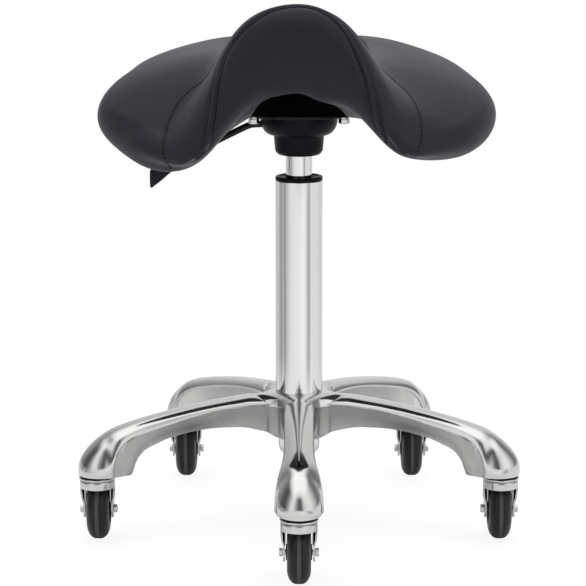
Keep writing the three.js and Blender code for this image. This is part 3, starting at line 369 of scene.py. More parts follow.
def rounded(corners, closed=False, steps=4):   # [radius, height, fillet] corners with small rounds
    made = []
    count = len(corners)
    for i, (x, y, fillet) in enumerate(corners):
        if fillet <= 0 or (not closed and i in (0, count - 1)):
            made.append((x, y))
            continue
        here = Vector((x, y))
        before = Vector(corners[i - 1][:2]) - here
        after = Vector(corners[(i + 1) % count][:2]) - here
        reach = min(fillet, before.length * 0.49, after.length * 0.49)
        start, end = here + before.normalized() * reach, here + after.normalized() * reach
        for k in range(steps + 1):
            t = k / steps
            point = start * (1 - t) ** 2 + here * 2 * t * (1 - t) + end * t * t
            made.append((point.x, point.y))
    return made


def shellOf(rings, capEnds=True):   # skin through rings of equally many points
    points = [tuple(p) for ring in rings for p in ring]
    count = len(rings[0])
    faces = []
    for level in range(len(rings) - 1):
        for i in range(count):
            j = (i + 1) % count
            a, b = level * count, (level + 1) * count
            faces.append((a + i, a + j, b + j, b + i))
    if capEnds:
        faces.append(tuple(range(count - 1, -1, -1)))
        faces.append(tuple(range((len(rings) - 1) * count, len(rings) * count)))
    return points, faces


def hexBar(flats, low, high, centre=(0, 0, 0), axis="Z", chamfer=0.6):
    across = flats / 2 / math.cos(math.pi / 6)
    rings = []
    for height, share in ((low, 1 - chamfer / across), (low + chamfer * 0.5, 1), (high - chamfer * 0.5, 1), (high, 1 - chamfer / across)):
        ring = []
        for i in range(6):
            angle = 2 * math.pi * i / 6
            p = (across * share * math.cos(angle), across * share * math.sin(angle), height)
            if axis == "X":
                p = (p[2], p[1], -p[0])
            ring.append(tuple(c + o for c, o in zip(p, centre)))
        rings.append(ring)
    return shellOf(rings)


def boxMesh(low, high):
    points = [(x, y, z) for z in (low[2], high[2]) for y in (low[1], high[1]) for x in (low[0], high[0])]
    faces = [(0, 2, 3, 1), (4, 5, 7, 6), (0, 1, 5, 4), (2, 6, 7, 3), (0, 4, 6, 2), (1, 3, 7, 5)]
    return points, faces


def extruded(outline, low, high):   # anticlockwise outline in XY
    return shellOf([[(x, y, low) for x, y in outline], [(x, y, high) for x, y in outline]])


def merged(*parts):
    points, faces = [], []
    for somePoints, someFaces in parts:
        start = len(points)
        points += list(somePoints)
        faces += [tuple(i + start for i in face) for face in someFaces]
    return points, faces


def moved(part, by=(0, 0, 0), turn=0):
    c, s = math.cos(turn), math.sin(turn)
    return [(x * c - y * s + by[0], x * s + y * c + by[1], z + by[2]) for x, y, z in part[0]], part[1]


def carve(piece, part, operation="DIFFERENCE", look=None):   # boolean with a mesh that is then thrown away
    tool = pieceFrom("tool", part[0], part[1], [look] if look else [])
    tool.matrix_world = piece.matrix_world
    step = piece.modifiers.new("carve", "BOOLEAN")
    step.operation, step.solver, step.object = operation, "EXACT", tool
    step.material_mode = "TRANSFER" if look else "INDEX"
    bpy.context.view_layer.update()
    mesh = bpy.data.meshes.new_from_object(piece.evaluated_get(bpy.context.evaluated_depsgraph_get()))
    piece.modifiers.clear()
    old = piece.data
    piece.data = mesh
    mesh.name = old.name
    bpy.data.meshes.remove(old)
    bpy.data.objects.remove(tool)
    return piece


def resharpened(piece, sharp=35):
    piece.data.shade_smooth()
    piece.data.set_sharp_from_angle(angle=math.radians(sharp))
    return piece


def swept(route, radius, sides=20, taper=None):   # round bar along points in the XZ plane
    rings = []
    for i, point in enumerate(route):
        ahead = Vector(route[min(i + 1, len(route) - 1)]) - Vector(route[max(i - 1, 0)])
        ahead.normalize()
        up = ahead.cross(Vector((0, 1, 0))).normalized()
        size = radius * (taper[i] if taper else 1)
        ring = []
        for k in range(sides):
            angle = 2 * math.pi * k / sides
            offset = Vector((0, 1, 0)) * math.cos(angle) * size + up * math.sin(angle) * size
            ring.append(tuple(Vector(point) + offset))
        rings.append(ring)
    return shellOf(rings)


def smoothLine(pairs):   # monotone cubic through (place, value) pairs, as a numpy function
    places = np.array([p for p, _ in pairs], float)
    values = np.array([v for _, v in pairs], float)
    steps = np.diff(values) / np.diff(places)
    slopes = np.zeros(len(places))
    for i in range(1, len(places) - 1):
        if steps[i - 1] * steps[i] > 0:
            slopes[i] = 2 * steps[i - 1] * steps[i] / (steps[i - 1] + steps[i])

    def at(place):
        place = np.clip(place, places[0], places[-1])
        i = np.clip(np.searchsorted(places, place, side="right") - 1, 0, len(places) - 2)
        width = places[i + 1] - places[i]
        t = (place - places[i]) / width
        s = 1 - t
        return (values[i] * s * s * (1 + 2 * t) + values[i + 1] * t * t * (1 + 2 * s)
                + width * s * t * (slopes[i] * s - slopes[i + 1] * t))
    return at


def atColumn(part):
    return moved(part, (0, columnY, 0))


# Star base

base = {
    "reach": 243.3, "footLow": 72.8, "hubRise": 74.6, "halfWidth": 24.5, "bore": 25.15,
    "lipBand": 1.4, "lipInset": 2.2, "wall": 3.4, "fillet": 14, "rib": 3,
    "casterRadius": 223, "socket": 5.8, "socketDepth": 27, "tubeSeat": 6, "taper": 3,
    "crown": [(0.1, 1), (0.19, 0.996), (0.325, 0.96), (0.465, 0.905), (0.616, 0.82), (0.7, 0.764), (0.775, 0.705),
              (0.845, 0.634), (0.889, 0.558), (0.93, 0.458), (0.966, 0.337), (0.987, 0.232), (0.997, 0.124), (1, 0.06)],
    "lip": [(0.15, 0.852), (0.205, 0.876), (0.34, 0.858), (0.48, 0.79), (0.62, 0.69), (0.755, 0.572),
            (0.803, 0.498), (0.838, 0.397), (0.865, 0.25), (0.882, 0.12), (0.9, 0.058), (1, 0.055)],
    "under": [(0.09, 0.314), (0.17, 0.45), (0.226, 0.515), (0.3, 0.562), (0.41, 0.575), (0.48, 0.56), (0.62, 0.474),
              (0.67, 0.41), (0.715, 0.35), (0.745, 0.262), (0.765, 0.155), (0.778, 0.03), (0.786, 0), (1, 0)],
    "width": [(0.17, 0.7), (0.25, 0.655), (0.42, 0.64), (0.6, 0.64), (0.7, 0.66), (0.76, 0.71), (0.8, 0.785),
              (0.84, 0.9), (0.872, 0.985), (0.9, 1), (0.925, 0.955), (0.95, 0.84), (0.975, 0.62), (0.99, 0.39), (1, 0.12)],
}


def makeBase():
    reach, low = base["reach"], base["footLow"]
    line = {key: smoothLine([(p * reach, low + v * base["hubRise"]) for p, v in base[key]]) for key in ("crown", "lip", "under")}
    width = smoothLine([(p * reach, v * base["halfWidth"]) for p, v in base["width"]])
    columns = 28
    sides = np.sin(np.pi / 2 * (2 * np.arange(columns + 1) / columns - 1))
    straight = np.concatenate([np.linspace(0.245, 0.72, 22), np.linspace(0.735, 0.93, 24), np.linspace(0.936, 0.984, 9), [0.989, 0.993, 0.9965]])

    def stations(inset):
        neck = width(0.0)
        across = neck + base["fillet"]
        along = across / math.tan(sector / 2)
        valley = math.hypot(along, across) - base["fillet"] - inset
        hubMiddle = valley + base["fillet"] / 2
        made = []
        for k in range(8):
            share = k / 8
            edge = base["bore"] + (valley - base["bore"]) * share
            made.append((base["bore"] + (hubMiddle - base["bore"]) * share, edge * math.cos(sector / 2),
                         edge * math.sin(sector / 2), 1 - share, share, 0, False))
        for k in range(11):
            share = k / 10
            angle = math.pi + sector / 2 + (math.pi / 2 - sector / 2) * share
            made.append((hubMiddle + (along + base["fillet"] - hubMiddle) * share,
                         along + (base["fillet"] + inset) * math.cos(angle),
                         across + (base["fillet"] + inset) * math.sin(angle), 0, 1, share, True))
        for share in straight:
            place = share * reach
            made.append((place, place, max(float(width(place)) - inset, 0.3), 0, 1, 1, True))
        return made

    def plan(station, side):
        middle, along, across, ring = station[:4]
        bend = 1 - side * side
        x, y = along + (middle - along) * bend, across * side
        radius, angle = math.hypot(along, across), math.asin(side) / (math.pi / 2) * sector / 2
        blend = ring ** 0.7 if ring > 0 else 0
        return x + (radius * math.cos(angle) - x) * blend, y + (radius * math.sin(angle) - y) * blend

    def height(station, side):
        middle, along, across, ring, valleyShare, crown, isOpen = station
        top, lip = float(line["crown"](middle)), float(line["lip"](math.hypot(along, across)))
        valleyTop = lip + (float(line["crown"](0.0)) - lip) * math.sqrt(max(0, 1 - valleyShare ** 2))
        edge = lip if isOpen else valleyTop
        round_ = math.sqrt(max(0, 1 - side * side))
        wave = (1 + math.cos(math.pi * side)) / 2
        blend = crown * crown * (3 - 2 * crown)
        return edge + (top - edge) * (wave + (round_ - wave) * blend)

    outer, inner = stations(0), stations(base["lipInset"])
    points, faces, zones = [], [], []
    found = {}

    def vertex(p):
        key = tuple(round(c, 3) for c in p)
        if key not in found:
            found[key] = len(points)
            points.append(p)
        return found[key]

    def quad(a, b, c, d, zone):
        ids = [vertex(p) for p in (a, b, c, d)]
        ids = [v for i, v in enumerate(ids) if v != ids[i - 1]]
        if len(ids) > 2:
            faces.append(ids)
            zones.append(zone)

    for leg in range(5):
        turn = leg * sector - math.pi / 2
        c, s = math.cos(turn), math.sin(turn)

        def at(p, z):
            return (p[0] * c - p[1] * s, p[0] * s + p[1] * c, float(z))
        top = [[at(plan(st, q), height(st, q)) for q in sides] for st in outer]
        boreLow = (base["bore"] - base["taper"]) / base["bore"]
        under = []
        for i, st in enumerate(inner):
            row = []
            for q in sides:
                x, y = plan(st, q)
                scale = boreLow if i == 0 else 1
                row.append(at((x * scale, y * scale), line["under"](math.hypot(x, y))))
            under.append(row)
        rims = [float(line["lip"](math.hypot(st[1], st[2]))) for st in outer]
        step = base["lipInset"] * 0.22
        levels = [(stations(step), 0.55), (outer, 0.2), (outer, 1.1), (stations(step), 1.4), (stations(base["lipInset"] * 0.8), 1.5), (inner, 2.1)]
        bands = [[[at(plan(st, q), rims[i] - drop) for q in sides] for i, st in enumerate(level)] for level, drop in levels[1:]]
        chain = [top] + bands + [under]
        zoneOf = [0, 0, 0, 1, 1, 1]
        last = len(outer) - 1
        for i in range(last):
            for j in range(columns):
                quad(top[i][j], top[i + 1][j], top[i + 1][j + 1], top[i][j + 1], 0)
                quad(under[i][j], under[i][j + 1], under[i + 1][j + 1], under[i + 1][j], 1)
            if not outer[i][6]:
                continue
            for zone, upper, lower in zip(zoneOf, chain, chain[1:]):
                quad(upper[i][columns], upper[i + 1][columns], lower[i + 1][columns], lower[i][columns], zone)
                quad(upper[i][0], lower[i][0], lower[i + 1][0], upper[i + 1][0], zone)
        for j in range(columns):
            for zone, upper, lower in zip(zoneOf, chain, chain[1:]):
                quad(upper[last][j], lower[last][j], lower[last][j + 1], upper[last][j + 1], zone)
        seat = [at(plan(outer[0], q), low + base["hubRise"] - base["tubeSeat"]) for q in sides]
        for j in range(columns):
            quad(top[0][j], top[0][j + 1], seat[j + 1], seat[j], 1)
            quad(seat[j], seat[j + 1], under[0][j + 1], under[0][j], 1)
    piece = pieceFrom("star_base", [(x, y + columnY, z) for x, y, z in points], faces, ["polished", "satin"], faceLooks=zones)
    tools = []
    for leg in range(5):
        turn = leg * sector - math.pi / 2
        drill = lathed([(0, low - 4), (base["socket"], low - 4), (base["socket"], low + base["socketDepth"]), (0, low + base["socketDepth"])], 32)
        tools.append(moved(moved(drill, (base["casterRadius"], 0, 0)), turn=turn))
        runs = [np.linspace(0.215 * reach, 0.44 * reach - base["rib"] / 2, 10), np.linspace(0.44 * reach + base["rib"] / 2, 0.735 * reach, 12)]
        for run in runs:
            rings = []
            for along in run:
                half = float(width(along)) - base["lipInset"] - base["wall"]
                roof, floor = float(line["lip"](along)) - base["lipBand"], float(line["under"](along)) - 4
                rings.append([(along, -half, floor), (along, half, floor), (along, half * 0.9, roof - 1), (along, half * 0.6, roof), (along, -half * 0.6, roof), (along, -half * 0.9, roof - 1)])
            tools.append(moved(shellOf(rings), turn=turn))
    carve(piece, atColumn(merged(*tools)), look="satin")
    resharpened(piece, 38)
    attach(piece, "base")
    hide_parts("base_casting")
    return piece


makeBase()
print("base made")


# Gas lift

lift = {
    "tube": 25, "wall": 1.8, "low": 79.9, "top": 374.9, "taperTop": 141.4, "hubLow": 95.9,
    "collarTop": 379.4, "cylinder": 14, "cylinderWall": 2.2, "cylinderTop": 423.2, "cylinderLow": 98.5,
}


def makeLift():
    r, wall, low = lift["tube"], lift["wall"], lift["low"]
    outside = [(5.3, low, 0), (r - 6.5, low, 0.4), (r - 4.2, low + 2.3, 2), (r - 3, low + 7, 2), (r - 3, lift["hubLow"], 3), (r, lift["taperTop"], 6), (r, lift["top"], 0.5)]
    inside = [(r - wall, lift["top"], 0.4), (r - wall, lift["taperTop"], 4), (r - 3 - wall, lift["hubLow"], 3), (r - 3 - wall, low + 7, 2), (r - 4.2 - wall, low + 3, 0.5), (5.3, low + 3, 0)]
    tube = pieceFrom("lift_tube", *atColumn(lathed(rounded(outside + inside, True), 128, True)), ["chrome"], "base", 35)
    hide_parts("outer_tube")
    flange, top = lift["top"] + 0.3, lift["collarTop"]
    bush = [(14.3, 299.9, 0.4), (22.9, 299.9, 0.4), (22.9, flange, 0.1), (r, flange, 0.4), (r, top - 0.9, 0.5), (r - 1, top, 0.5),
            (r - 3.4, top, 0.5), (r - 4.4, top - 1.1, 0.4), (16.6, top - 1.3, 0.5), (14.3, top - 2.2, 0.5)]
    collar = pieceFrom("lift_collar", *atColumn(lathed(rounded(bush, True), 112, True)), ["plastic"], "base", 32)
    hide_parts("guide_bush")
    c, inner, high = lift["cylinder"], lift["cylinder"] - lift["cylinderWall"], lift["cylinderTop"]
    body = [(inner, lift["cylinderLow"], 0.3), (c, lift["cylinderLow"], 0.6), (c, high - 22, 3), (c - 1, high, 0.8), (3.3, high, 0.2), (3.3, high - 6, 0.2), (inner, high - 6, 0.2)]
    cylinder = pieceFrom("lift_cylinder", *atColumn(lathed(rounded(body, True), 96, True)), ["chrome"], "seat", 35)
    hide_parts("gas_cylinder")


makeLift()
print("gas lift made")


# Bell, plate, bolts

bell = {
    "low": 401.7, "cup": 26.6, "foot": 25.4, "edge": 7, "cupTop": 422.4, "stepTop": 423.2, "flare": 28.4,
    "radius": 41, "rim": 441.4, "top": 444.4, "wall": 2.8, "throat": 14.8,
    "leverHeight": 433.2, "slotHalf": 4.3, "slotLow": 428.1, "plateLow": 444.7, "plateTop": 448.2,
}


def ellipseArc(cx, cz, rx, rz, start, end, steps):
    return [(cx + rx * math.cos(start + (end - start) * k / steps), cz + rz * math.sin(start + (end - start) * k / steps)) for k in range(steps + 1)]


def makeBell():
    b = bell
    rise = b["rim"] - b["stepTop"]
    outside = [(b["throat"], b["low"])] + ellipseArc(b["foot"] - b["edge"], b["low"] + b["edge"], b["edge"], b["edge"], -math.pi / 2, 0, 10)
    outside += [(b["cup"] - 0.1, b["cupTop"] - 0.8), (b["cup"] + 0.2, b["cupTop"] - 0.1), (b["flare"] - 0.5, b["cupTop"] + 0.2), (b["flare"], b["cupTop"] + 0.5)]
    outside += ellipseArc(b["flare"], b["rim"], b["radius"] - b["flare"], rise, -math.pi / 2, 0, 14)
    outside += [(b["radius"], b["top"] - 0.5), (b["radius"] - 0.5, b["top"])]
    w = b["wall"]
    inside = [(b["radius"] - w, b["top"]), (b["radius"] - w, b["rim"])]
    inside += ellipseArc(b["flare"] - w, b["rim"], b["radius"] - b["flare"], rise - w, 0, -math.pi / 2, 8)
    inside += [(b["cup"] - w, b["stepTop"] + w), (b["foot"] - w, b["low"] + b["edge"]), (b["foot"] - b["edge"], b["low"] + w), (b["throat"], b["low"] + w)]
    piece = pieceFrom("bell_cover", *atColumn(lathed(outside + inside, 128, True)), ["plastic"])
    gate = boxMesh((-b["radius"] - 4, -b["slotHalf"], b["slotLow"]), (0, b["slotHalf"], b["plateLow"] + 2))
    carve(piece, atColumn(gate))
    resharpened(piece, 34)
    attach(piece, "seat")
    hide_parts("bell_housing")


plate = {"radius": 58, "socket": 18.9, "bore": 14.3, "socketLow": 410.7, "earX": 25, "earHalf": 3.6,
         "earInner": 4.9, "earOuter": 7.5, "earLow": 429.6, "boltX": 47, "boltY": 20}


def boltPlaces():
    return [(x, y, "seat_bolt_%s_%s" % ("front" if y < 0 else "rear", "left" if x < 0 else "right"))
            for y in (-plate["boltY"], plate["boltY"]) for x in (-plate["boltX"], plate["boltX"])]


def makePlate():
    p, b = plate, bell
    low, top = b["plateLow"], b["plateTop"]
    disc = rounded([(0, low, 0), (p["radius"], low, 0.8), (p["radius"], top, 0.8), (0, top, 0)])
    piece = pieceFrom("seat_plate_disc", *atColumn(lathed(disc, 144)), ["coat"])
    socket = lathed(rounded([(p["bore"], p["socketLow"], 0.5), (p["socket"], p["socketLow"], 0.8), (p["socket"], low + 1, 0), (p["bore"], low + 1, 0)], True), 72, True)
    carve(piece, atColumn(socket), "UNION")
    for side in (-1, 1):
        near, far = sorted((side * p["earInner"], side * p["earOuter"]))
        outline = [(-p["earX"] - p["earHalf"], low + 1)]
        for k in range(13):
            angle = math.pi + math.pi * k / 12
            outline.append((-p["earX"] + p["earHalf"] * math.cos(angle), b["leverHeight"] + p["earHalf"] * math.sin(angle)))
        outline.append((-p["earX"] + p["earHalf"], low + 1))
        rings = [[(x, y, z) for x, z in outline] for y in (far, near)]
        carve(piece, atColumn(shellOf(rings)), "UNION")
    bead = lathed([(p["socket"] - 0.5, low - 3.2), (p["socket"] + 1, low - 2.6), (p["socket"] + 2.2, low - 1.2), (p["socket"] + 3, low + 0.2), (p["socket"] - 0.5, low + 0.2)], 72, True)
    carve(piece, atColumn(bead), "UNION")
    tools = [boxMesh((-p["socket"] - 2, -4.3, bell["slotLow"]), (0, 4.3, low)),
             boxMesh((-31.3, -p["earInner"], 426.9), (-18.7, p["earInner"], low)),
             lathed([(0, -12), (2.3, -12), (2.3, 12), (0, 12)], 24, centre=(-p["earX"], 0, b["leverHeight"]), axis="Y")]
    for x, y, _ in boltPlaces():
        tools.append(moved(lathed([(0, low - 4), (3.3, low - 4), (3.3, top + 4), (0, top + 4)], 24), (x, y, 0)))
    for tool in tools:
        carve(piece, atColumn(tool))
    resharpened(piece, 34)
    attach(piece, "seat")
    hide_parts("seat_plate")


def makeBolts():
    low = bell["plateLow"] - 0.3
    for x, y, node in boltPlaces():
        washer = lathed(rounded([(3, low - 1.2, 0), (6.4, low - 1.2, 0.3), (6.4, low, 0.3), (3, low, 0)], True), 40, True)
        split = lathed(rounded([(3, low - 2.6, 0), (5.2, low - 2.6, 0.3), (5.2, low - 1.25, 0.3), (3, low - 1.25, 0)], True), 32, True)
        head = hexBar(10, low - 7.5, low - 2.65, chamfer=0.7)
        face = lathed(rounded([(0, low - 7.9, 0), (3.9, low - 7.9, 0.3), (4.3, low - 7.45, 0), (0, low - 7.45, 0)]), 32)
        shank = lathed([(0, low - 3), (3, low - 3), (3, bell["plateTop"] + 3.2), (0, bell["plateTop"] + 3.2)], 24)
        part = moved(merged(washer, split, head, face, shank), (x, y + columnY, 0))
        piece = pieceFrom(node + "_set", *part, ["zinc"], "seat", 32)
        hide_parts(node)


makeBell()
makePlate()
makeBolts()
print("bell, plate and bolts made")


# Lever

lever = {"height": 433.2, "pivot": 25, "elbow": 51, "slope": 0.5, "bend": 4, "radius": 3.5, "tip": 1, "end": 132,
         "boss": 5.5, "bossHalf": 4.6, "pin": 2, "gripStart": 112, "gripEnd": 157,
         "grip": [(0, -0.36, 0.36, 6.4), (0.04, -0.44, 0.44, 7.3), (0.3, -0.5, 0.43, 7.8), (0.55, -0.8, 0.49, 8.5), (0.75, -1.08, 0.51, 9.1),
                  (0.88, -1.2, 0.52, 9.6), (0.96, -1.29, 0.5, 9.8), (0.985, -1.25, 0.46, 9.5), (1, -1.08, 0.36, 8.9)]}


def leverLevel(reach):
    past = reach - lever["elbow"]
    return lever["height"] - lever["slope"] * (past + math.hypot(past, lever["bend"]) - lever["bend"]) / 2


def makeLever():
    v = lever
    reaches = list(np.linspace(-v["tip"] + 0.4, 40, 12)) + list(np.linspace(42, 62, 14)) + list(np.linspace(66, v["end"], 14))
    route = [(-r, 0, leverLevel(r)) for r in reaches]
    route = [(v["tip"], 0, v["height"])] + route
    taper = [0.86] + [1] * (len(route) - 2) + [0.9]
    arm = pieceFrom("lever_rod", *atColumn(swept(route[::-1], v["radius"], 28, taper[::-1])), ["coat"])
    boss = lathed(rounded([(0, -v["bossHalf"], 0), (v["boss"], -v["bossHalf"], 0.5), (v["boss"], v["bossHalf"], 0.5), (0, v["bossHalf"], 0)]), 40, centre=(-v["pivot"], 0, v["height"]), axis="Y")
    carve(arm, atColumn(boss), "UNION")
    carve(arm, atColumn(lathed([(0, -8), (2.3, -8), (2.3, 8), (0, 8)], 24, centre=(-v["pivot"], 0, v["height"]), axis="Y")))
    resharpened(arm, 34)
    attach(arm, "lever")
    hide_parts("lever_arm")
    pin = []
    seat = v["bossHalf"] + 3.2
    pin.append(lathed([(0, -seat), (v["pin"], -seat), (v["pin"], seat), (0, seat)], 24, centre=(-v["pivot"], 0, v["height"]), axis="Y"))
    for side in (-1, 1):
        near, far = sorted((side * seat, side * (seat + 1.4)))
        pin.append(lathed(rounded([(0, near, 0), (3.2, near, 0.4), (3.2, far, 0.4), (0, far, 0)]), 28, centre=(-v["pivot"], 0, v["height"]), axis="Y"))
    pivot = pieceFrom("lever_pivot", *atColumn(merged(*pin)), ["steel"], "seat", 34)
    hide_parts("lever_pin")
    places = np.array([g[0] for g in v["grip"]])
    rings = []
    for share in np.concatenate([[0, 0.015, 0.04], np.linspace(0.08, 0.9, 18), [0.94, 0.97, 0.99, 1]]):
        low, high, half = (np.interp(share, places, [g[k] for g in v["grip"]]) for k in (1, 2, 3))
        reach = v["gripStart"] + (v["gripEnd"] - v["gripStart"]) * share
        level = leverLevel(reach)
        middle, tall = level + (low + high) * 6, (high - low) * 6
        ring = []
        for k in range(36):
            angle = 2 * math.pi * k / 36
            c, s = math.cos(angle), math.sin(angle)
            ring.append((-reach, -half * math.copysign(abs(c) ** 0.6, c), middle + tall * math.copysign(abs(s) ** 0.6, s)))
        rings.append(ring)
    grip = pieceFrom("lever_paddle", *atColumn(shellOf(rings)), ["soft"], None, 50)
    slope = math.atan(v["slope"])
    start = Vector((-v["gripStart"] + 2, 0, leverLevel(v["gripStart"] - 2)))
    end = start + Vector((-math.cos(slope), 0, -math.sin(slope))) * 24
    carve(grip, atColumn(swept([tuple(end), tuple(start)], 3.8, 28)))
    resharpened(grip, 50)
    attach(grip, "lever")
    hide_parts("lever_grip")


makeLever()
print("lever made")


# Casters

caster = {
    "axle": 31.75, "trail": 12, "wheelHalf": 12, "tread": 2.2, "rivetLow": 64.3, "rivet": 6, "plateLow": 65.9, "plateTop": 67.5,
    "flangeLow": 67.8, "flangeTop": 70.4, "flange": 19.3, "washerLow": 70.7, "washerTop": 72.5, "washer": 18.4,
    "stem": 5.5, "stemTop": 99.2, "neck": 4, "hood": 18.4, "wall": 1.6, "guard": 12.9, "band": 8.4, "cheek": 15.7, "boss": 9.5, "cheekEnd": 10,
    "nut": 7.8, "nutHeight": 3.7, "bolt": 3, "bead": 17.5, "beadInner": 16.3, "core": 16, "coreHalf": 10.5,
}


def superRing(height, halfX, halfY, middleY, squareness, count=72):
    ring = []
    for k in range(count):
        angle = 2 * math.pi * (k + 0.5) / count
        c, s = math.cos(angle), math.sin(angle)
        ring.append((halfX * math.copysign(abs(c) ** (2 / squareness), c), middleY + halfY * math.copysign(abs(s) ** (2 / squareness), s), height))
    return ring


def forkLoft(inset):
    c = caster
    waist = c["plateTop"] - c["band"]
    shin = c["axle"] + c["boss"] * 0.7
    knots = [(c["axle"] - c["cheekEnd"] - 4, c["cheek"], c["boss"] + c["trail"], c["trail"], 4.5),
             (shin, c["cheek"], c["boss"] + c["trail"], c["trail"], 4.5),
             (shin + (waist - shin) * 0.45, c["cheek"] + (c["hood"] - c["cheek"]) * 0.8, (c["boss"] + c["trail"] + c["hood"]) / 2, c["trail"] / 2, 2.9),
             (waist, c["hood"], c["hood"], 0, 2)]
    lines = [smoothLine([(k[0], k[i]) for k in knots]) for i in range(1, 5)]
    heights = list(np.linspace(knots[0][0], waist, 26))
    rings = []
    for h in heights:
        x, y, m, n = (float(line(h)) for line in lines)
        rings.append(superRing(h, x - inset, y - inset, m, n))
    edge, top = (0.4, c["plateLow"]) if inset else (2.1, c["plateTop"])
    for k in range(6):
        angle = math.pi / 2 * k / 5
        out = edge * (1 - math.cos(angle))
        rings.append(superRing(top - edge + edge * math.sin(angle), c["hood"] - inset - out, c["hood"] - inset - out, 0, 2))
    return shellOf(rings)


def forkSide():   # outline of hood and cheek, seen from the side
    c = caster
    bandLow, reach = c["plateTop"] - c["band"], c["hood"] + 5
    outline = [(-reach, bandLow), (-c["hood"] * 0.4, bandLow)]
    start, control, end = (-c["hood"] * 0.4, bandLow), (0.5, bandLow - 2), (c["trail"] - c["boss"], c["axle"])
    for k in range(1, 13):
        t = k / 12
        outline.append(tuple((1 - t) ** 2 * a + 2 * t * (1 - t) * b + t * t * e for a, b, e in zip(start, control, end)))
    for k in range(1, 17):
        angle = math.pi + math.pi * k / 16
        outline.append((c["trail"] + c["boss"] * math.cos(angle), c["axle"] + c["boss"] * math.sin(angle)))
    outline += [(c["hood"], bandLow), (reach, bandLow), (reach, c["plateTop"] + 4), (-reach, c["plateTop"] + 4)]
    rings = [[(x, y, z) for y, z in outline] for x in (-reach, reach)]
    return shellOf(rings)


def makeForkMesh():
    c = caster
    piece = pieceFrom("fork_pattern", *forkLoft(0), ["zinc"])
    carve(piece, forkSide(), "INTERSECT")
    carve(piece, forkLoft(c["wall"]))
    carve(piece, boxMesh((-12.8, 0, -4), (12.8, 36, c["rivetLow"])))
    for side in (-1, 1):   # thin guard plates beside the wheel, with a near-black web behind their front edge that is painted shade for the dark inside of the fork
        near, far = sorted((side * c["guard"], side * (c["guard"] + 0.9)))
        outline = ((1.5, 42), (0, 48), (0.5, c["plateLow"] + 0.5), (14, c["plateLow"] + 0.5), (15, 48), (14, 42))
        carve(piece, shellOf([[(x, y, z) for y, z in outline] for x in (near, far)]), "UNION")
        levels = ((40, 14.6), (44, 15.6), (50, 16.2), (57, 15.8), (60, 15.2), (c["plateLow"] + 0.5, 15.2))
        shadeWeb = [[(side * x, y, z) for x, y in ((c["guard"] + 0.3, 8), (wide, 8), (wide, 9.2), (c["guard"] + 0.3, 9.2))] for z, wide in levels]
        if side < 0:
            shadeWeb = [ring[::-1] for ring in shadeWeb]
        # the web takes the near-black finish, as painted shade
        carve(piece, shellOf(shadeWeb), "UNION", "pan")
    carve(piece, lathed([(0, 60), (4.3, 60), (4.3, 72), (0, 72)], 32))
    carve(piece, lathed([(0, -24), (3.3, -24), (3.3, 24), (0, 24)], 28, centre=(0, c["trail"], c["axle"]), axis="X"))
    resharpened(piece, 34)
    return piece


def wheelProfile():   # flat tread, quarter ellipses down to the bead
    c = caster
    right = [(c["axle"], c["tread"] * 0.4), (c["axle"], c["tread"] * 0.9)]
    for k in range(1, 15):
        angle = math.pi / 2 * k / 14
        right.append((c["bead"] + (c["axle"] - c["bead"]) * math.cos(angle), c["tread"] + (c["wheelHalf"] - c["tread"]) * math.sin(angle)))
    right += [(c["bead"] - 0.5, c["wheelHalf"] - 0.1), (c["beadInner"] + 0.1, c["wheelHalf"] - 0.6), (c["beadInner"], c["wheelHalf"] - 1)]
    return [(r, -x) for r, x in right][::-1] + right


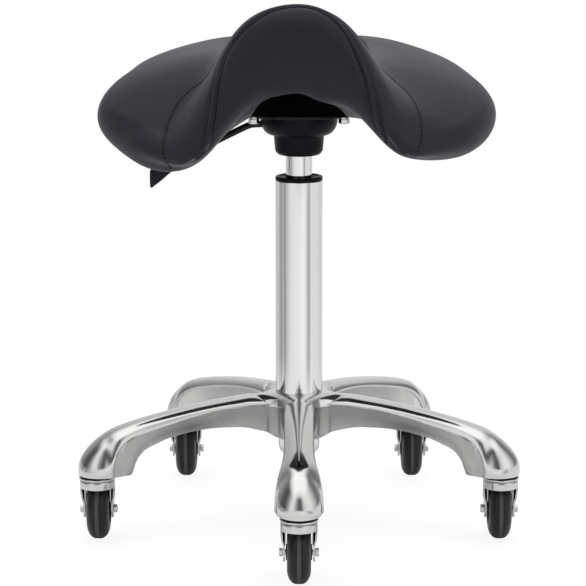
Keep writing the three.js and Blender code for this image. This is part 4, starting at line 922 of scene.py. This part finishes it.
def makeCasters():
    c = caster
    fork = makeForkMesh()
    stem = lathed(rounded([(0, c["rivetLow"], 0), (c["rivet"], c["rivetLow"], 0.8), (c["rivet"], 65.6, 0.2), (c["neck"], 65.6, 0.1), (c["neck"], c["flangeLow"], 0.1),
                           (c["flange"] - 1.2, c["flangeLow"], 0.3), (c["flange"], c["flangeLow"] + 0.9, 0.5), (c["flange"], c["flangeTop"], 0.8), (c["stem"], c["flangeTop"], 0.3),
                           (c["stem"], 90, 0), (c["stem"] - 0.7, 90.4, 0.2), (c["stem"] - 0.7, 92.6, 0.2), (c["stem"], 93, 0), (c["stem"], c["stemTop"] - 2, 0.4), (c["stem"] - 2, c["stemTop"], 0.4), (0, c["stemTop"], 0)]), 80)
    washer = lathed(rounded([(c["stem"] + 0.3, c["washerLow"], 0.2), (c["washer"], c["washerLow"], 0.6), (c["washer"], c["washerTop"], 0.6), (c["stem"] + 0.3, c["washerTop"], 0.2)], True), 72, True)
    tyre = lathed(wheelProfile(), 112, True, (0, c["trail"], c["axle"]), "X")
    rim = c["coreHalf"]
    hub = [(c["core"], -rim, 0.6), (13.4, -rim, 0.8), (12.8, -rim + 4, 1.5), (9, -rim + 4, 1.2), (8, -13.1, 0.6), (3.3, -13.1, 0.3),
           (3.3, 13.1, 0.3), (8, 13.1, 0.6), (9, rim - 4, 1.2), (12.8, rim - 4, 1.5), (13.4, rim, 0.8), (c["core"], rim, 0.6)]
    core = lathed(rounded(hub[::-1], True), 96, True, (0, c["trail"], c["axle"]), "X")
    centre = (0, c["trail"], c["axle"])
    seat = c["cheek"] + 0.3
    head = hexBar(c["nut"], -seat - c["nutHeight"], -seat, centre, "X")
    thread = lathed(rounded([(0, -seat - 0.5, 0), (c["bolt"], -seat - 0.5, 0), (c["bolt"], seat + c["nutHeight"] - 0.2, 0.5), (0, seat + c["nutHeight"] - 0.2, 0)]), 28, centre=centre, axis="X")
    bolt = merged(head, thread)
    nutPattern = pieceFrom("nut_pattern", *hexBar(c["nut"], seat, seat + c["nutHeight"], centre, "X"), ["zinc"])
    carve(nutPattern, lathed([(0, 10), (3.25, 10), (3.25, 30), (0, 30)], 28, centre=centre, axis="X"))
    resharpened(nutPattern, 32)
    patterns = {
        "stem": pieceFrom("stem_pattern", *stem, ["zinc"], None, 34).data,
        "washer": pieceFrom("washer_pattern", *washer, ["plastic"], None, 34).data,
        "tyre": pieceFrom("tyre_pattern", *tyre, ["wheel"], None, 34).data,
        "core": pieceFrom("core_pattern", *core, ["wheel"], None, 34).data,
        "bolt": pieceFrom("bolt_pattern", *bolt, ["zinc"], None, 34).data,
        "nut": nutPattern.data, "fork": fork.data,
    }
    for piece in [o for o in bpy.data.objects if o.name.endswith("_pattern")]:
        bpy.data.objects.remove(piece)
    jobs = [("stem", "swivel_stem_", "caster_stem_", "base", "zinc"), ("washer", "swivel_washer_", "caster_washer_", "base", "black_plastic"),
            ("fork", "wheel_fork_", "fork_", "fork_", "zinc"), ("bolt", "wheel_bolt_", "axle_bolt_", "fork_", "zinc"),
            ("nut", "wheel_nut_", "axle_nut_", "fork_", "zinc"), ("core", "wheel_hub_", "wheel_core_", "wheel_", "black_plastic"),
            ("tyre", "wheel_tread_", "tyre_", "wheel_", "tread")]
    for leg, name in enumerate(legNames):
        angle = leg * sector
        place = Vector((base["casterRadius"] * math.sin(angle), columnY - base["casterRadius"] * math.cos(angle), 0)) * mm
        for pattern, newName, node, body, slot in jobs:
            piece = bpy.data.objects.new(newName + name, patterns[pattern])
            bpy.context.scene.collection.objects.link(piece)
            piece.location = place
            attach(piece, body if body == "base" else body + name)
            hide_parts(node + name)


makeCasters()
print("casters made")


# Saddle

saddle = {
    "net": [   # x, y, z and half thickness, from the left rim to the right, front to back
        [(-102.6, -116, 414, 5), (-80.5, -122, 446.6, 9), (-55, -125, 486.7, 24), (-28.7, -127, 518, 41), (1.2, -128, 525, 46),
         (30.9, -127, 514.2, 41), (57.6, -125, 486.3, 24), (81.6, -122, 450.7, 9), (103.5, -116, 417.3, 5)],
        [(-128.2, -98, 404.5, 12), (-104.3, -96, 425.5, 17), (-73, -90, 475.2, 26), (-38.5, -90, 510.5, 42), (0.3, -90, 518.3, 45),
         (34.9, -90, 505.7, 42), (70.9, -90, 476.8, 25), (104.6, -96, 431.3, 17), (129.5, -98, 413.6, 12)],
        [(-178.3, -50, 416.5, 20), (-129.5, -56, 419.5, 25), (-90, -48, 453.9, 27), (-45, -45, 493.6, 40), (-0.7, -45, 504.5, 45),
         (43.5, -45, 487.5, 40), (89, -48, 462.5, 23.8), (134.8, -56, 432.3, 24), (182.4, -50, 419.5, 20)],
        [(-210.4, 15, 429, 25.3), (-158.7, 12, 453.1, 28), (-104.6, 15, 473.5, 28), (-55, 15, 484.3, 29), (-0.2, 15, 490.9, 33),
         (54.4, 15, 483.6, 29), (104.7, 15, 468.6, 28), (158.3, 12, 451.1, 28), (206.3, 15, 432.8, 25.2)],
        [(-194.3, 75, 458.7, 21), (-149.9, 84, 469, 28), (-103.1, 82, 478.7, 28), (-54, 80, 486.5, 26), (0.5, 80, 487.8, 28),
         (55.1, 80, 486, 26), (104.7, 82, 478, 28), (150.9, 84, 466.6, 28), (193.8, 75, 460.2, 21)],
        [(-157.6, 130, 473.2, 19), (-124.3, 142, 480.2, 25), (-86.9, 148, 483.8, 29), (-43.3, 150, 489.2, 27), (1, 150, 489, 26),
         (45.7, 150, 488.9, 27), (90.1, 148, 483.9, 29), (127.7, 142, 479.5, 25), (160.3, 130, 475.6, 19)],
        [(-113.9, 166, 485.2, 14), (-90, 182, 489.2, 18), (-63.5, 194, 490, 20), (-33.3, 201, 489.3, 22), (1.1, 203, 488.5, 22),
         (35.8, 201, 489.4, 22), (66.5, 194, 490.8, 20), (93.8, 182, 490.6, 18), (117.1, 166, 487.3, 14)],
    ],
    "across": 280, "along": 220, "rim": 24, "front": 28, "upright": 0.35,
    "formAcross": 96, "formAlong": 80, "slack": 0.5, "swell": 2.8, "pressure": 4, "frames": 14, "heldNear": 4.5, "smoothings": 3,
    "dip": 1.25, "dipWidth": 2.9, "welt": 1.1, "weltHalf": 3.6, "thread": 0.34, "sideThread": 0.2, "sideDip": 0.35, "stitch": 4.6, "stitchOffset": 2.2,
    "stitchRadius": 0.7, "bare": 14,
    # seams as (across, along, side), where side is 1 on top and -1 underneath
    "archSeam": [(0.0838, 0.0483, -1), (0.0847, 0.0203, -1), (0.1069, 0.0028, 1), (0.1377, 0.0135, 1), (0.167, 0.025, 1),
                 (0.2023, 0.0437, 1), (0.2334, 0.0611, 1), (0.2772, 0.083, 1), (0.3145, 0.077, 1), (0.362, 0.0611, 1),
                 (0.4187, 0.0649, 1), (0.4796, 0.0696, 1), (0.5345, 0.0712, 1), (0.5906, 0.0559, 1), (0.635, 0.0393, 1),
                 (0.6634, 0.0285, 1), (0.7043, 0.0177, 1), (0.7491, 0.0104, 1), (0.799, 0.0006, 1), (0.8295, 0.001, -1),
                 (0.8547, 0.019, -1), (0.8666, 0.077, -1)],
    "weltSeam": [(0.0351, 0.0649, -1), (0.0312, 0.034, -1), (0.0524, 0.008, 1), (0.0891, 0.0245, 1), (0.1249, 0.043, 1),
                 (0.1554, 0.0545, 1), (0.1693, 0.0596, 1), (0.2036, 0.0821, 1), (0.2334, 0.1002, 1), (0.2786, 0.142, 1),
                 (0.3145, 0.113, 1), (0.362, 0.0971, 1), (0.4187, 0.1009, 1), (0.4796, 0.1056, 1), (0.5345, 0.1072, 1),
                 (0.5906, 0.0919, 1), (0.6575, 0.0463, 1), (0.6928, 0.043, 1), (0.7395, 0.0328, 1), (0.7862, 0.0186, 1),
                 (0.8175, 0.0114, 1), (0.8602, 0.0018, 1), (0.897, 0.0057, -1), (0.9017, 0.0696, -1)],
    "leftSeam": [(0.05, 0.24, -1), (0.0107, 0.2048, -1), (0.0021, 0.1948, 1), (0.0161, 0.2087, 1), (0.0345, 0.2255, 1),
                 (0.0559, 0.2468, 1), (0.083, 0.2758, 1), (0.1188, 0.313, 1), (0.1453, 0.344, 1), (0.1612, 0.3605, 1),
                 (0.1801, 0.3741, 1), (0.1973, 0.3818, 1), (0.2164, 0.3848, 1), (0.2388, 0.3833, 1), (0.2646, 0.3665, 1),
                 (0.2758, 0.3545, 1), (0.3, 0.37, 1), (0.322, 0.42, 1), (0.335, 0.5, 1), (0.338, 0.6, 1), (0.335, 0.72, 1),
                 (0.325, 0.86, 1), (0.318, 0.95, 1), (0.316, 0.995, 1), (0.316, 0.96, -1)],
    "rightSeam": [(0.95, 0.165, -1), (0.9745, 0.1366, -1), (0.9902, 0.1229, -1), (0.9814, 0.127, 1), (0.9441, 0.1682, 1),
                  (0.897, 0.2061, 1), (0.8502, 0.255, 1), (0.8295, 0.2772, 1), (0.8052, 0.3072, 1), (0.781, 0.3306, 1),
                  (0.7612, 0.3351, 1), (0.7381, 0.344, 1), (0.7228, 0.341, 1), (0.7, 0.355, 1), (0.68, 0.4, 1),
                  (0.668, 0.48, 1), (0.664, 0.6, 1), (0.667, 0.72, 1), (0.676, 0.86, 1), (0.683, 0.95, 1), (0.684, 0.995, 1),
                  (0.684, 0.96, -1)],
}


def catmull(grid, places):   # resamples along the first axis
    last = len(grid) - 1
    i = np.clip(np.floor(places).astype(int), 0, last - 1)
    shape = (-1,) + (1,) * (grid.ndim - 1)
    t = (places - i).reshape(shape)
    p1, p2 = grid[i], grid[i + 1]
    p0 = np.where((i > 0).reshape(shape), grid[np.maximum(i - 1, 0)], 2 * p1 - p2)
    p3 = np.where((i < last - 1).reshape(shape), grid[np.minimum(i + 2, last)], 2 * p2 - p1)
    return p1 + 0.5 * t * (p2 - p0 + t * (2 * p0 - 5 * p1 + 4 * p2 - p3 + t * (3 * (p1 - p2) + p3 - p0)))


def resampled(grid, acrossCount, alongCount):   # the same sheet with more or fewer points
    rows = catmull(grid, np.linspace(0, len(grid) - 1, acrossCount + 1))
    lines = catmull(np.swapaxes(rows, 0, 1), np.linspace(0, grid.shape[1] - 1, alongCount + 1))
    return np.swapaxes(lines, 0, 1)


def runs(sheet, axis):   # length along the sheet from its first edge
    steps = np.linalg.norm(np.diff(sheet, axis=axis), axis=-1)
    total = np.cumsum(steps, axis=axis)
    return np.concatenate([np.zeros_like(np.take(total, [0], axis=axis)), total], axis=axis)


def roundness(distance, radius, power=2.0):
    inward = 1 - np.clip(distance / radius, 0, 1)
    return (1 - inward ** power) ** (1 / power)


def eased(count):   # closer together at both ends
    return (1 - np.cos(np.pi * np.linspace(0, 1, count + 1))) / 2


def saddleSides(acrossCount, alongCount):
    net = np.array(saddle["net"], float)
    acrossPlaces = eased(acrossCount)
    rows = catmull(net, eased(alongCount) * (len(net) - 1))
    grid = catmull(np.swapaxes(rows, 0, 1), acrossPlaces * (net.shape[1] - 1))
    middle, half = grid[..., :3], grid[..., 3]
    across, along = runs(middle, 0), runs(middle, 1)
    side, back = np.minimum(across, across[-1:] - across), along[:, -1:] - along
    shape = (roundness(side, saddle["rim"]) * roundness(along, saddle["front"], 2.2) * roundness(back, saddle["rim"]))
    normal = np.cross(np.gradient(middle, axis=0), np.gradient(middle, axis=1))
    normal /= np.linalg.norm(normal, axis=-1, keepdims=True) + 1e-9
    span = np.abs(2 * acrossPlaces - 1)[:, None]
    follow = (saddle["upright"] + (1 - saddle["upright"]) * np.clip(span * 1.2, 0, 1))[..., None]
    direction = normal * follow + np.array([0, 0, 1.0]) * (1 - follow)
    direction /= np.linalg.norm(direction, axis=-1, keepdims=True)
    slack = saddle["slack"] * roundness(np.minimum(np.minimum(side, along), back), 45)
    return middle + (half * shape - slack)[..., None] * direction, middle - (half * shape)[..., None] * direction


def skinned(top, under):   # one closed skin from the two sides
    count, rows = top.shape[:2]
    index = np.arange(count * rows).reshape(count, rows)
    inner = np.ones((count, rows), bool)
    inner[[0, -1], :] = False
    inner[:, [0, -1]] = False
    lower = index.copy()
    lower[inner] = count * rows + np.arange(inner.sum())
    points = np.concatenate([top.reshape(-1, 3), under[inner]])
    sheets = [np.stack([index[:-1, :-1], index[1:, :-1], index[1:, 1:], index[:-1, 1:]], -1),
              np.stack([lower[:-1, :-1], lower[:-1, 1:], lower[1:, 1:], lower[1:, :-1]], -1)]
    return points, np.concatenate([sheet.reshape(-1, 4) for sheet in sheets]).tolist(), index


def treeOf(points, faces):
    return BVHTree.FromPolygons([tuple(p) for p in points], faces)


def seamLine(route, top, under, tree, step=0.8):   # even points on the skin
    count, rows = top.shape[0] - 1, top.shape[1] - 1
    knots = []
    for across, along, side in route:
        i, j = (math.acos(1 - 2 * place) / math.pi * n for place, n in ((across, count), (along, rows)))
        knots.append(catmull(catmull(top if side > 0 else under, np.array([i]))[0], np.array([j]))[0])
    rough = catmull(np.array(knots), np.linspace(0, len(knots) - 1, 20 * (len(knots) - 1) + 1))
    snapped = np.array([tree.find_nearest(Vector(p))[0] for p in rough])
    length = runs(snapped, 0)
    even = np.arange(0, length[-1], step)
    return np.stack([np.interp(even, length, snapped[:, k]) for k in range(3)], -1)


def away(points, line):   # distance from every point to a line
    tree = kdtree.KDTree(len(line))
    for i, p in enumerate(line):
        tree.insert(p, i)
    tree.balance()
    return np.array([tree.find(p)[2] for p in points])


def swollen(lines):   # how far the cover's panels puff out between their seams, from a cloth run
    s = saddle
    top, under = saddleSides(s["formAcross"], s["formAlong"])
    points, faces, index = skinned(top, under)
    seams = np.concatenate(lines)
    free = away(top.reshape(-1, 3), seams)
    form = pieceFrom("swellForm", points, faces, [])
    held = form.vertex_groups.new(name="held")
    loose = np.zeros(len(points), bool)
    loose[index[1:-1, 1:-1].ravel()] = True
    loose[:len(free)] &= free > s["heldNear"]
    held.add(np.flatnonzero(~loose).tolist(), 1.0, "REPLACE")
    cloth = form.modifiers.new("cloth", "CLOTH")
    cloth.settings.vertex_group_mass = "held"
    cloth.settings.use_pressure = True
    cloth.settings.uniform_pressure_force = s["pressure"]
    cloth.settings.effector_weights.gravity = 0
    cloth.settings.quality = 6
    cloth.point_cache.frame_end = s["frames"]
    scene = bpy.context.scene
    for step in range(1, s["frames"] + 1):
        scene.frame_set(step)
    done = form.evaluated_get(bpy.context.evaluated_depsgraph_get()).to_mesh()
    found = np.empty(len(points) * 3)
    done.vertices.foreach_get("co", found)
    mesh = form.data
    bpy.data.objects.remove(form)
    bpy.data.meshes.remove(mesh)
    scene.frame_set(1)
    shift = found.reshape(-1, 3)[:index.size] / mm - points[:index.size]
    length = np.linalg.norm(shift, axis=-1, keepdims=True)
    print("cover swelled, middle and most in mm", round(float(np.median(length[free > 20])), 2), round(float(length.max()), 2))
    shift *= s["swell"] * np.tanh(length / s["swell"]) / np.maximum(length, 1e-6)
    shift = shift.reshape(index.shape + (3,))
    for _ in range(s["smoothings"]):
        for axis in (0, 1):
            inner = np.swapaxes(shift, 0, axis)
            inner[1:-1] = (inner[:-2] + 2 * inner[1:-1] + inner[2:]) / 4
    return shift


def threadAlong(line, tree, radius, sides=8):   # a thin round line that lies in the skin
    rings = []
    for i, p in enumerate(line):
        normal = tree.find_nearest(Vector(p))[1]
        ahead = Vector(line[min(i + 1, len(line) - 1)] - line[max(i - 1, 0)]).normalized()
        out = (normal - ahead * normal.dot(ahead)).normalized()
        side = ahead.cross(out)
        size = radius * (0.4 if i in (0, len(line) - 1) else 1)
        rings.append([tuple(Vector(p) + side * math.cos(t) * size + out * math.sin(t) * size)
                      for t in (2 * math.pi * k / sides for k in range(sides))])
    return shellOf(rings)


def stitchRow(line, tree, offset):   # short dashes beside a seam
    s, parts = saddle, []
    length = runs(line, 0)
    for start in np.arange(s["stitch"], length[-1] - s["stitch"], s["stitch"]):
        ends = np.stack([np.interp(start + np.array([0, 0.33, 0.66, 1]) * s["stitch"] * 0.5, length, line[:, k]) for k in range(3)], -1)
        normal = tree.find_nearest(Vector(ends[1]))[1]
        side = Vector(ends[-1] - ends[0]).cross(normal).normalized() * offset
        dash = []
        for p, lift in zip(ends, (-0.15, 0.3, 0.3, -0.15)):
            place, out = tree.find_nearest(Vector(p) + side)[:2]
            dash.append(np.array(place + out * lift))
        parts.append(threadAlong(dash, tree, s["stitchRadius"], 6))
    return merged(*parts)


def makeSeat():
    s = saddle
    top, under = saddleSides(s["across"], s["along"])
    points, faces, index = skinned(top, under)
    tree = treeOf(points, faces)
    arch, welt, left, right = (seamLine(s[key], top, under, tree) for key in ("archSeam", "weltSeam", "leftSeam", "rightSeam"))
    lines = [arch, welt, left, right]
    share = np.linspace(0, 1, 900)
    bandLine = sum(np.stack([np.interp(share, np.linspace(0, 1, len(line)), line[:, k]) for k in range(3)], -1) for line in (arch, welt)) / 2
    bandLine = np.array([tree.find_nearest(Vector(p))[0] for p in bandLine])
    points[:index.size] += resampled(swollen(lines), s["across"], s["along"]).reshape(-1, 3)
    cover = pieceFrom("saddle_cover", [(x, y + columnY, z) for x, y, z in points], faces, ["leather"], "seat", 80)
    normals = np.empty(len(points) * 3)
    cover.data.vertex_normals.foreach_get("vector", normals)
    seamAway, sideAway = away(points, np.concatenate(lines[:2])), away(points, np.concatenate(lines[2:]))
    bandAway = away(points, bandLine[s["bare"]:-s["bare"]])
    rise = s["welt"] * np.clip(1 - (bandAway / s["weltHalf"]) ** 2, 0, 1) ** 0.5 - s["dip"] * np.exp(-(seamAway / s["dipWidth"]) ** 2)
    rise -= s["sideDip"] * np.exp(-(sideAway / s["dipWidth"]) ** 2)
    points += normals.reshape(-1, 3) * rise[:, None]
    cover.data.vertices.foreach_set("co", ((points + np.array([0, columnY, 0])) * mm).ravel())
    cover.data.update()
    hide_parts("seat_cushion")
    tree = treeOf(points, faces)
    settled = [np.array([tree.find_nearest(Vector(p))[0] for p in line]) for line in lines]
    sizes = (s["thread"],) * 2 + (s["sideThread"],) * 2
    for name, line, size in zip(("arch_seam", "welt_seam", "left_seam", "right_seam"), settled, sizes):
        seam = pieceFrom(name, *atColumn(threadAlong(line, tree, size)), ["thread"], "seat", 60)
    for name, line, sign in (("left_stitches", settled[2], 1), ("right_stitches", settled[3], -1)):
        row = pieceFrom(name, *atColumn(stitchRow(line, tree, s["stitchOffset"] * sign)), ["thread"], "seat", 60)
    return tree


pan = {"low": 448.6, "pad": 55, "flare": 0.085, "wide": 57, "long": 93, "middle": -25, "square": 2.5, "gap": 0.7, "wall": 3.5, "hidden": 3.5}


def makePan(skin):   # the moulded shell under the foam: flat on the plate, then close to the underside, its edge inside the foam
    p = pan
    low, high = [], []
    for share in [0.03, 0.3, 0.5, 0.6, 0.66, 0.7, 0.74, 0.78, 0.82, 0.86, 0.89, 0.92, 0.95, 0.98, 1]:
        ring = []
        for x, y, _ in superRing(0, p["wide"] * share, p["long"] * share, p["middle"], p["square"], 120):
            under = skin.ray_cast(Vector((x, y, 300)), Vector((0, 0, 1)))[0].z
            far = max(0, math.hypot(x, y) - p["pad"])
            level = min(under - p["gap"], p["low"] + p["flare"] * far ** 1.5)
            edge = max(0, (share - 0.86) / 0.14)
            ring.append((x, y, level + (under + p["hidden"] - level) * edge * edge))
        low.append(ring)
        high.append([(x, y, z + p["wall"]) for x, y, z in ring])
    # the pan takes the near-black finish that is painted shade under the cushion
    piece = pieceFrom("saddle_pan", *atColumn(shellOf(high + low[::-1])), ["pan"], "seat", 50)
    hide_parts("seat_pan")


makePan(makeSeat())
for name, look in (("thrust_bearing", "steel"), ("piston_rod", "chrome"), ("retaining_clip", "steel"),
                   ("piston", "steel"), ("cylinder_gland", "steel"), ("valve_pin", "coat")):
    node = frame["nodes"][name]
    node.data.materials.clear()
    node.data.materials.append(looks[look])
print("saddle made")


# Studio

studio = {
    "distance": 2396, "height": 718, "pitch": 10.98, "focal": 2289, "axisPixel": 299, "pictureSize": 586,
    "floorReach": 6000, "ambient": 0.55, "shadowShare": 0.12,
    # how light the room is, in degrees from the camera: first as soft light on matt surfaces
    "fillRoom": [(-180, 1), (-125, 1), (-90, 1), (-60, 0.85), (-35, 0.45), (0, 0.2), (35, 0.45), (60, 0.85), (90, 1), (125, 1)],
    # then in reflections: near the floor, and above
    "lowRoom": [(-180, 0.8), (-140, 0.62), (-117, 0.6), (-101, 0.37), (-87, 0.57), (-74, 0.32), (-63, 0.54), (-52, 0.72), (-41, 0.83),
                (-21, 0.91), (0, 0.93), (17, 1), (26, 1), (37, 0.74), (46, 0.44), (54, 0.5), (61, 0.88), (68, 0.8), (94, 0.82), (127, 0.67), (160, 0.8)],
    "highRoom": [(-180, 0.8), (-150, 0.5), (-118, 0.3), (-95, 0.12), (-77, 0.09), (-60, 0.4), (-46, 0.92), (-30, 0.97), (-15, 0.42), (0, 0.13),
                 (12, 0.15), (25, 0.7), (40, 1), (65, 1), (85, 0.6), (105, 0.2), (122, 0.25), (148, 0.7)],
    "ceiling": 1.3,
}


def roomShade(finish, where, shades):   # soft light and dark walls all round
    around = finish.add("ShaderNodeTexGradient", {"gradient_type": "RADIAL"}, {"Vector": where})
    stops = sorted(((angle / 360 + 0.25) % 1, (shade, shade, shade)) for angle, shade in studio[shades])
    return finish.add("ShaderNodeValToRGB", {"stops": [(0, stops[-1][1])] + stops}, {"Fac": around})


def makeStudio():
    s = studio
    camera = bpy.data.objects.new("camera", bpy.data.cameras.new("camera"))
    bpy.context.scene.collection.objects.link(camera)
    camera.location = Vector((0, columnY - s["distance"], s["height"])) * mm
    camera.rotation_euler = (math.radians(90 - s["pitch"]), 0, 0)
    camera.data.sensor_width = 36
    camera.data.lens = s["focal"] / s["pictureSize"] * 36
    camera.data.shift_x = (s["pictureSize"] / 2 - s["axisPixel"]) / s["pictureSize"]
    camera.data.clip_end = 50
    bpy.context.scene.camera = camera

    points, faces = [], []
    for radius in (0, 400, 800, 1400, 2600, s["floorReach"]):
        for k in range(64):
            angle = 2 * math.pi * k / 64
            points.append((radius * math.cos(angle), radius * math.sin(angle), 0))
    for ring in range(5):
        for k in range(64):
            j = (k + 1) % 64
            faces.append((ring * 64 + k, (ring + 1) * 64 + k, (ring + 1) * 64 + j, ring * 64 + j))
    floor = pieceFrom("floor", points, faces, [])
    paper = Finish("paleFloor")
    where = paper.place()
    spot = paper.add("ShaderNodeVectorMath", {"operation": "LENGTH"}, {0: where}, "Value")
    away = spot.between(0.42, 0.95)
    seen = paper.add("ShaderNodeLightPath", {}, {}, "Is Camera Ray")
    glossy = paper.add("ShaderNodeLightPath", {}, {}, "Is Glossy Ray")
    through = paper.add("ShaderNodeLightPath", {}, {}, "Is Transmission Ray")
    plain = seen * (1 - s["shadowShare"] * (1 - away)) + (glossy + through) * away
    glow = paper.add("ShaderNodeEmission", {}, {"Color": paper.mix((1, 1, 1), roomShade(paper, where, "lowRoom"), glossy), "Strength": 1.0})
    matt = paper.mix((0.9, 0.9, 0.9), (0.98, 0.98, 0.98), seen)
    paper.set(Base_Color=paper.mix(matt, (0.56, 0.56, 0.56), glossy), Roughness=0.8, Specular_IOR_Level=0.0)
    shown = paper.add("ShaderNodeMixShader", {}, {0: plain.clipped(), 1: Socket(paper, paper.shader.outputs[0]), 2: glow})
    paper.feed(paper.tree.nodes["Material Output"].inputs["Surface"], shown)
    floor.data.materials.append(paper.block)

    world = Finish("studioWorld", bpy.data.worlds.new("studioWorld"))
    bpy.context.scene.world = world.block
    camRay = world.add("ShaderNodeLightPath", {}, {}, "Is Camera Ray")
    glossRay = world.add("ShaderNodeLightPath", {}, {}, "Is Glossy Ray")
    passRay = world.add("ShaderNodeLightPath", {}, {}, "Is Transmission Ray")
    direct = (camRay + glossRay + passRay).clipped()
    sky = world.tree.nodes["Background"]
    look = world.add("ShaderNodeTexCoord", {}, {}, "Generated")
    height = world.add("ShaderNodeSeparateXYZ", {}, {"Vector": look}, "Z")
    walls = world.mix(roomShade(world, look, "lowRoom"), roomShade(world, look, "highRoom"), height.between(-0.04, 0.1))
    room = world.mix(walls, (s["ceiling"],) * 3, height.between(0.72, 0.97))
    shown = world.mix(roomShade(world, look, "fillRoom"), (1, 1, 1), (camRay + passRay).clipped())
    world.feed(sky.inputs["Color"], world.mix(shown, room, glossRay))
    world.feed(sky.inputs["Strength"], s["ambient"] + direct * (1 - s["ambient"]))

    def softbox(name, place, aim, width, tall, power, mirrored=True):
        lamp = bpy.data.objects.new(name, bpy.data.lights.new(name, "AREA"))
        bpy.context.scene.collection.objects.link(lamp)
        lamp.data.shape, lamp.data.size, lamp.data.size_y = "RECTANGLE", width * mm, tall * mm
        lamp.data.energy = power
        lamp.location = Vector(place) * mm
        lamp.rotation_euler = (Vector(aim) - Vector(place)).to_track_quat("-Z", "Y").to_euler()
        lamp.visible_glossy = mirrored
        return lamp
    softbox("topLight", (0, 200, 2400), (0, 0, 300), 2200, 2200, 62, False)
    softbox("leftLight", (-2000, -700, 800), (0, 0, 300), 900, 1200, 24, False)
    softbox("rightLight", (2000, -700, 800), (0, 0, 300), 900, 1200, 24, False)

    bpy.context.scene.view_settings.view_transform = "Standard"


makeStudio()
print("studio made")

bpy.context.view_layer.update()
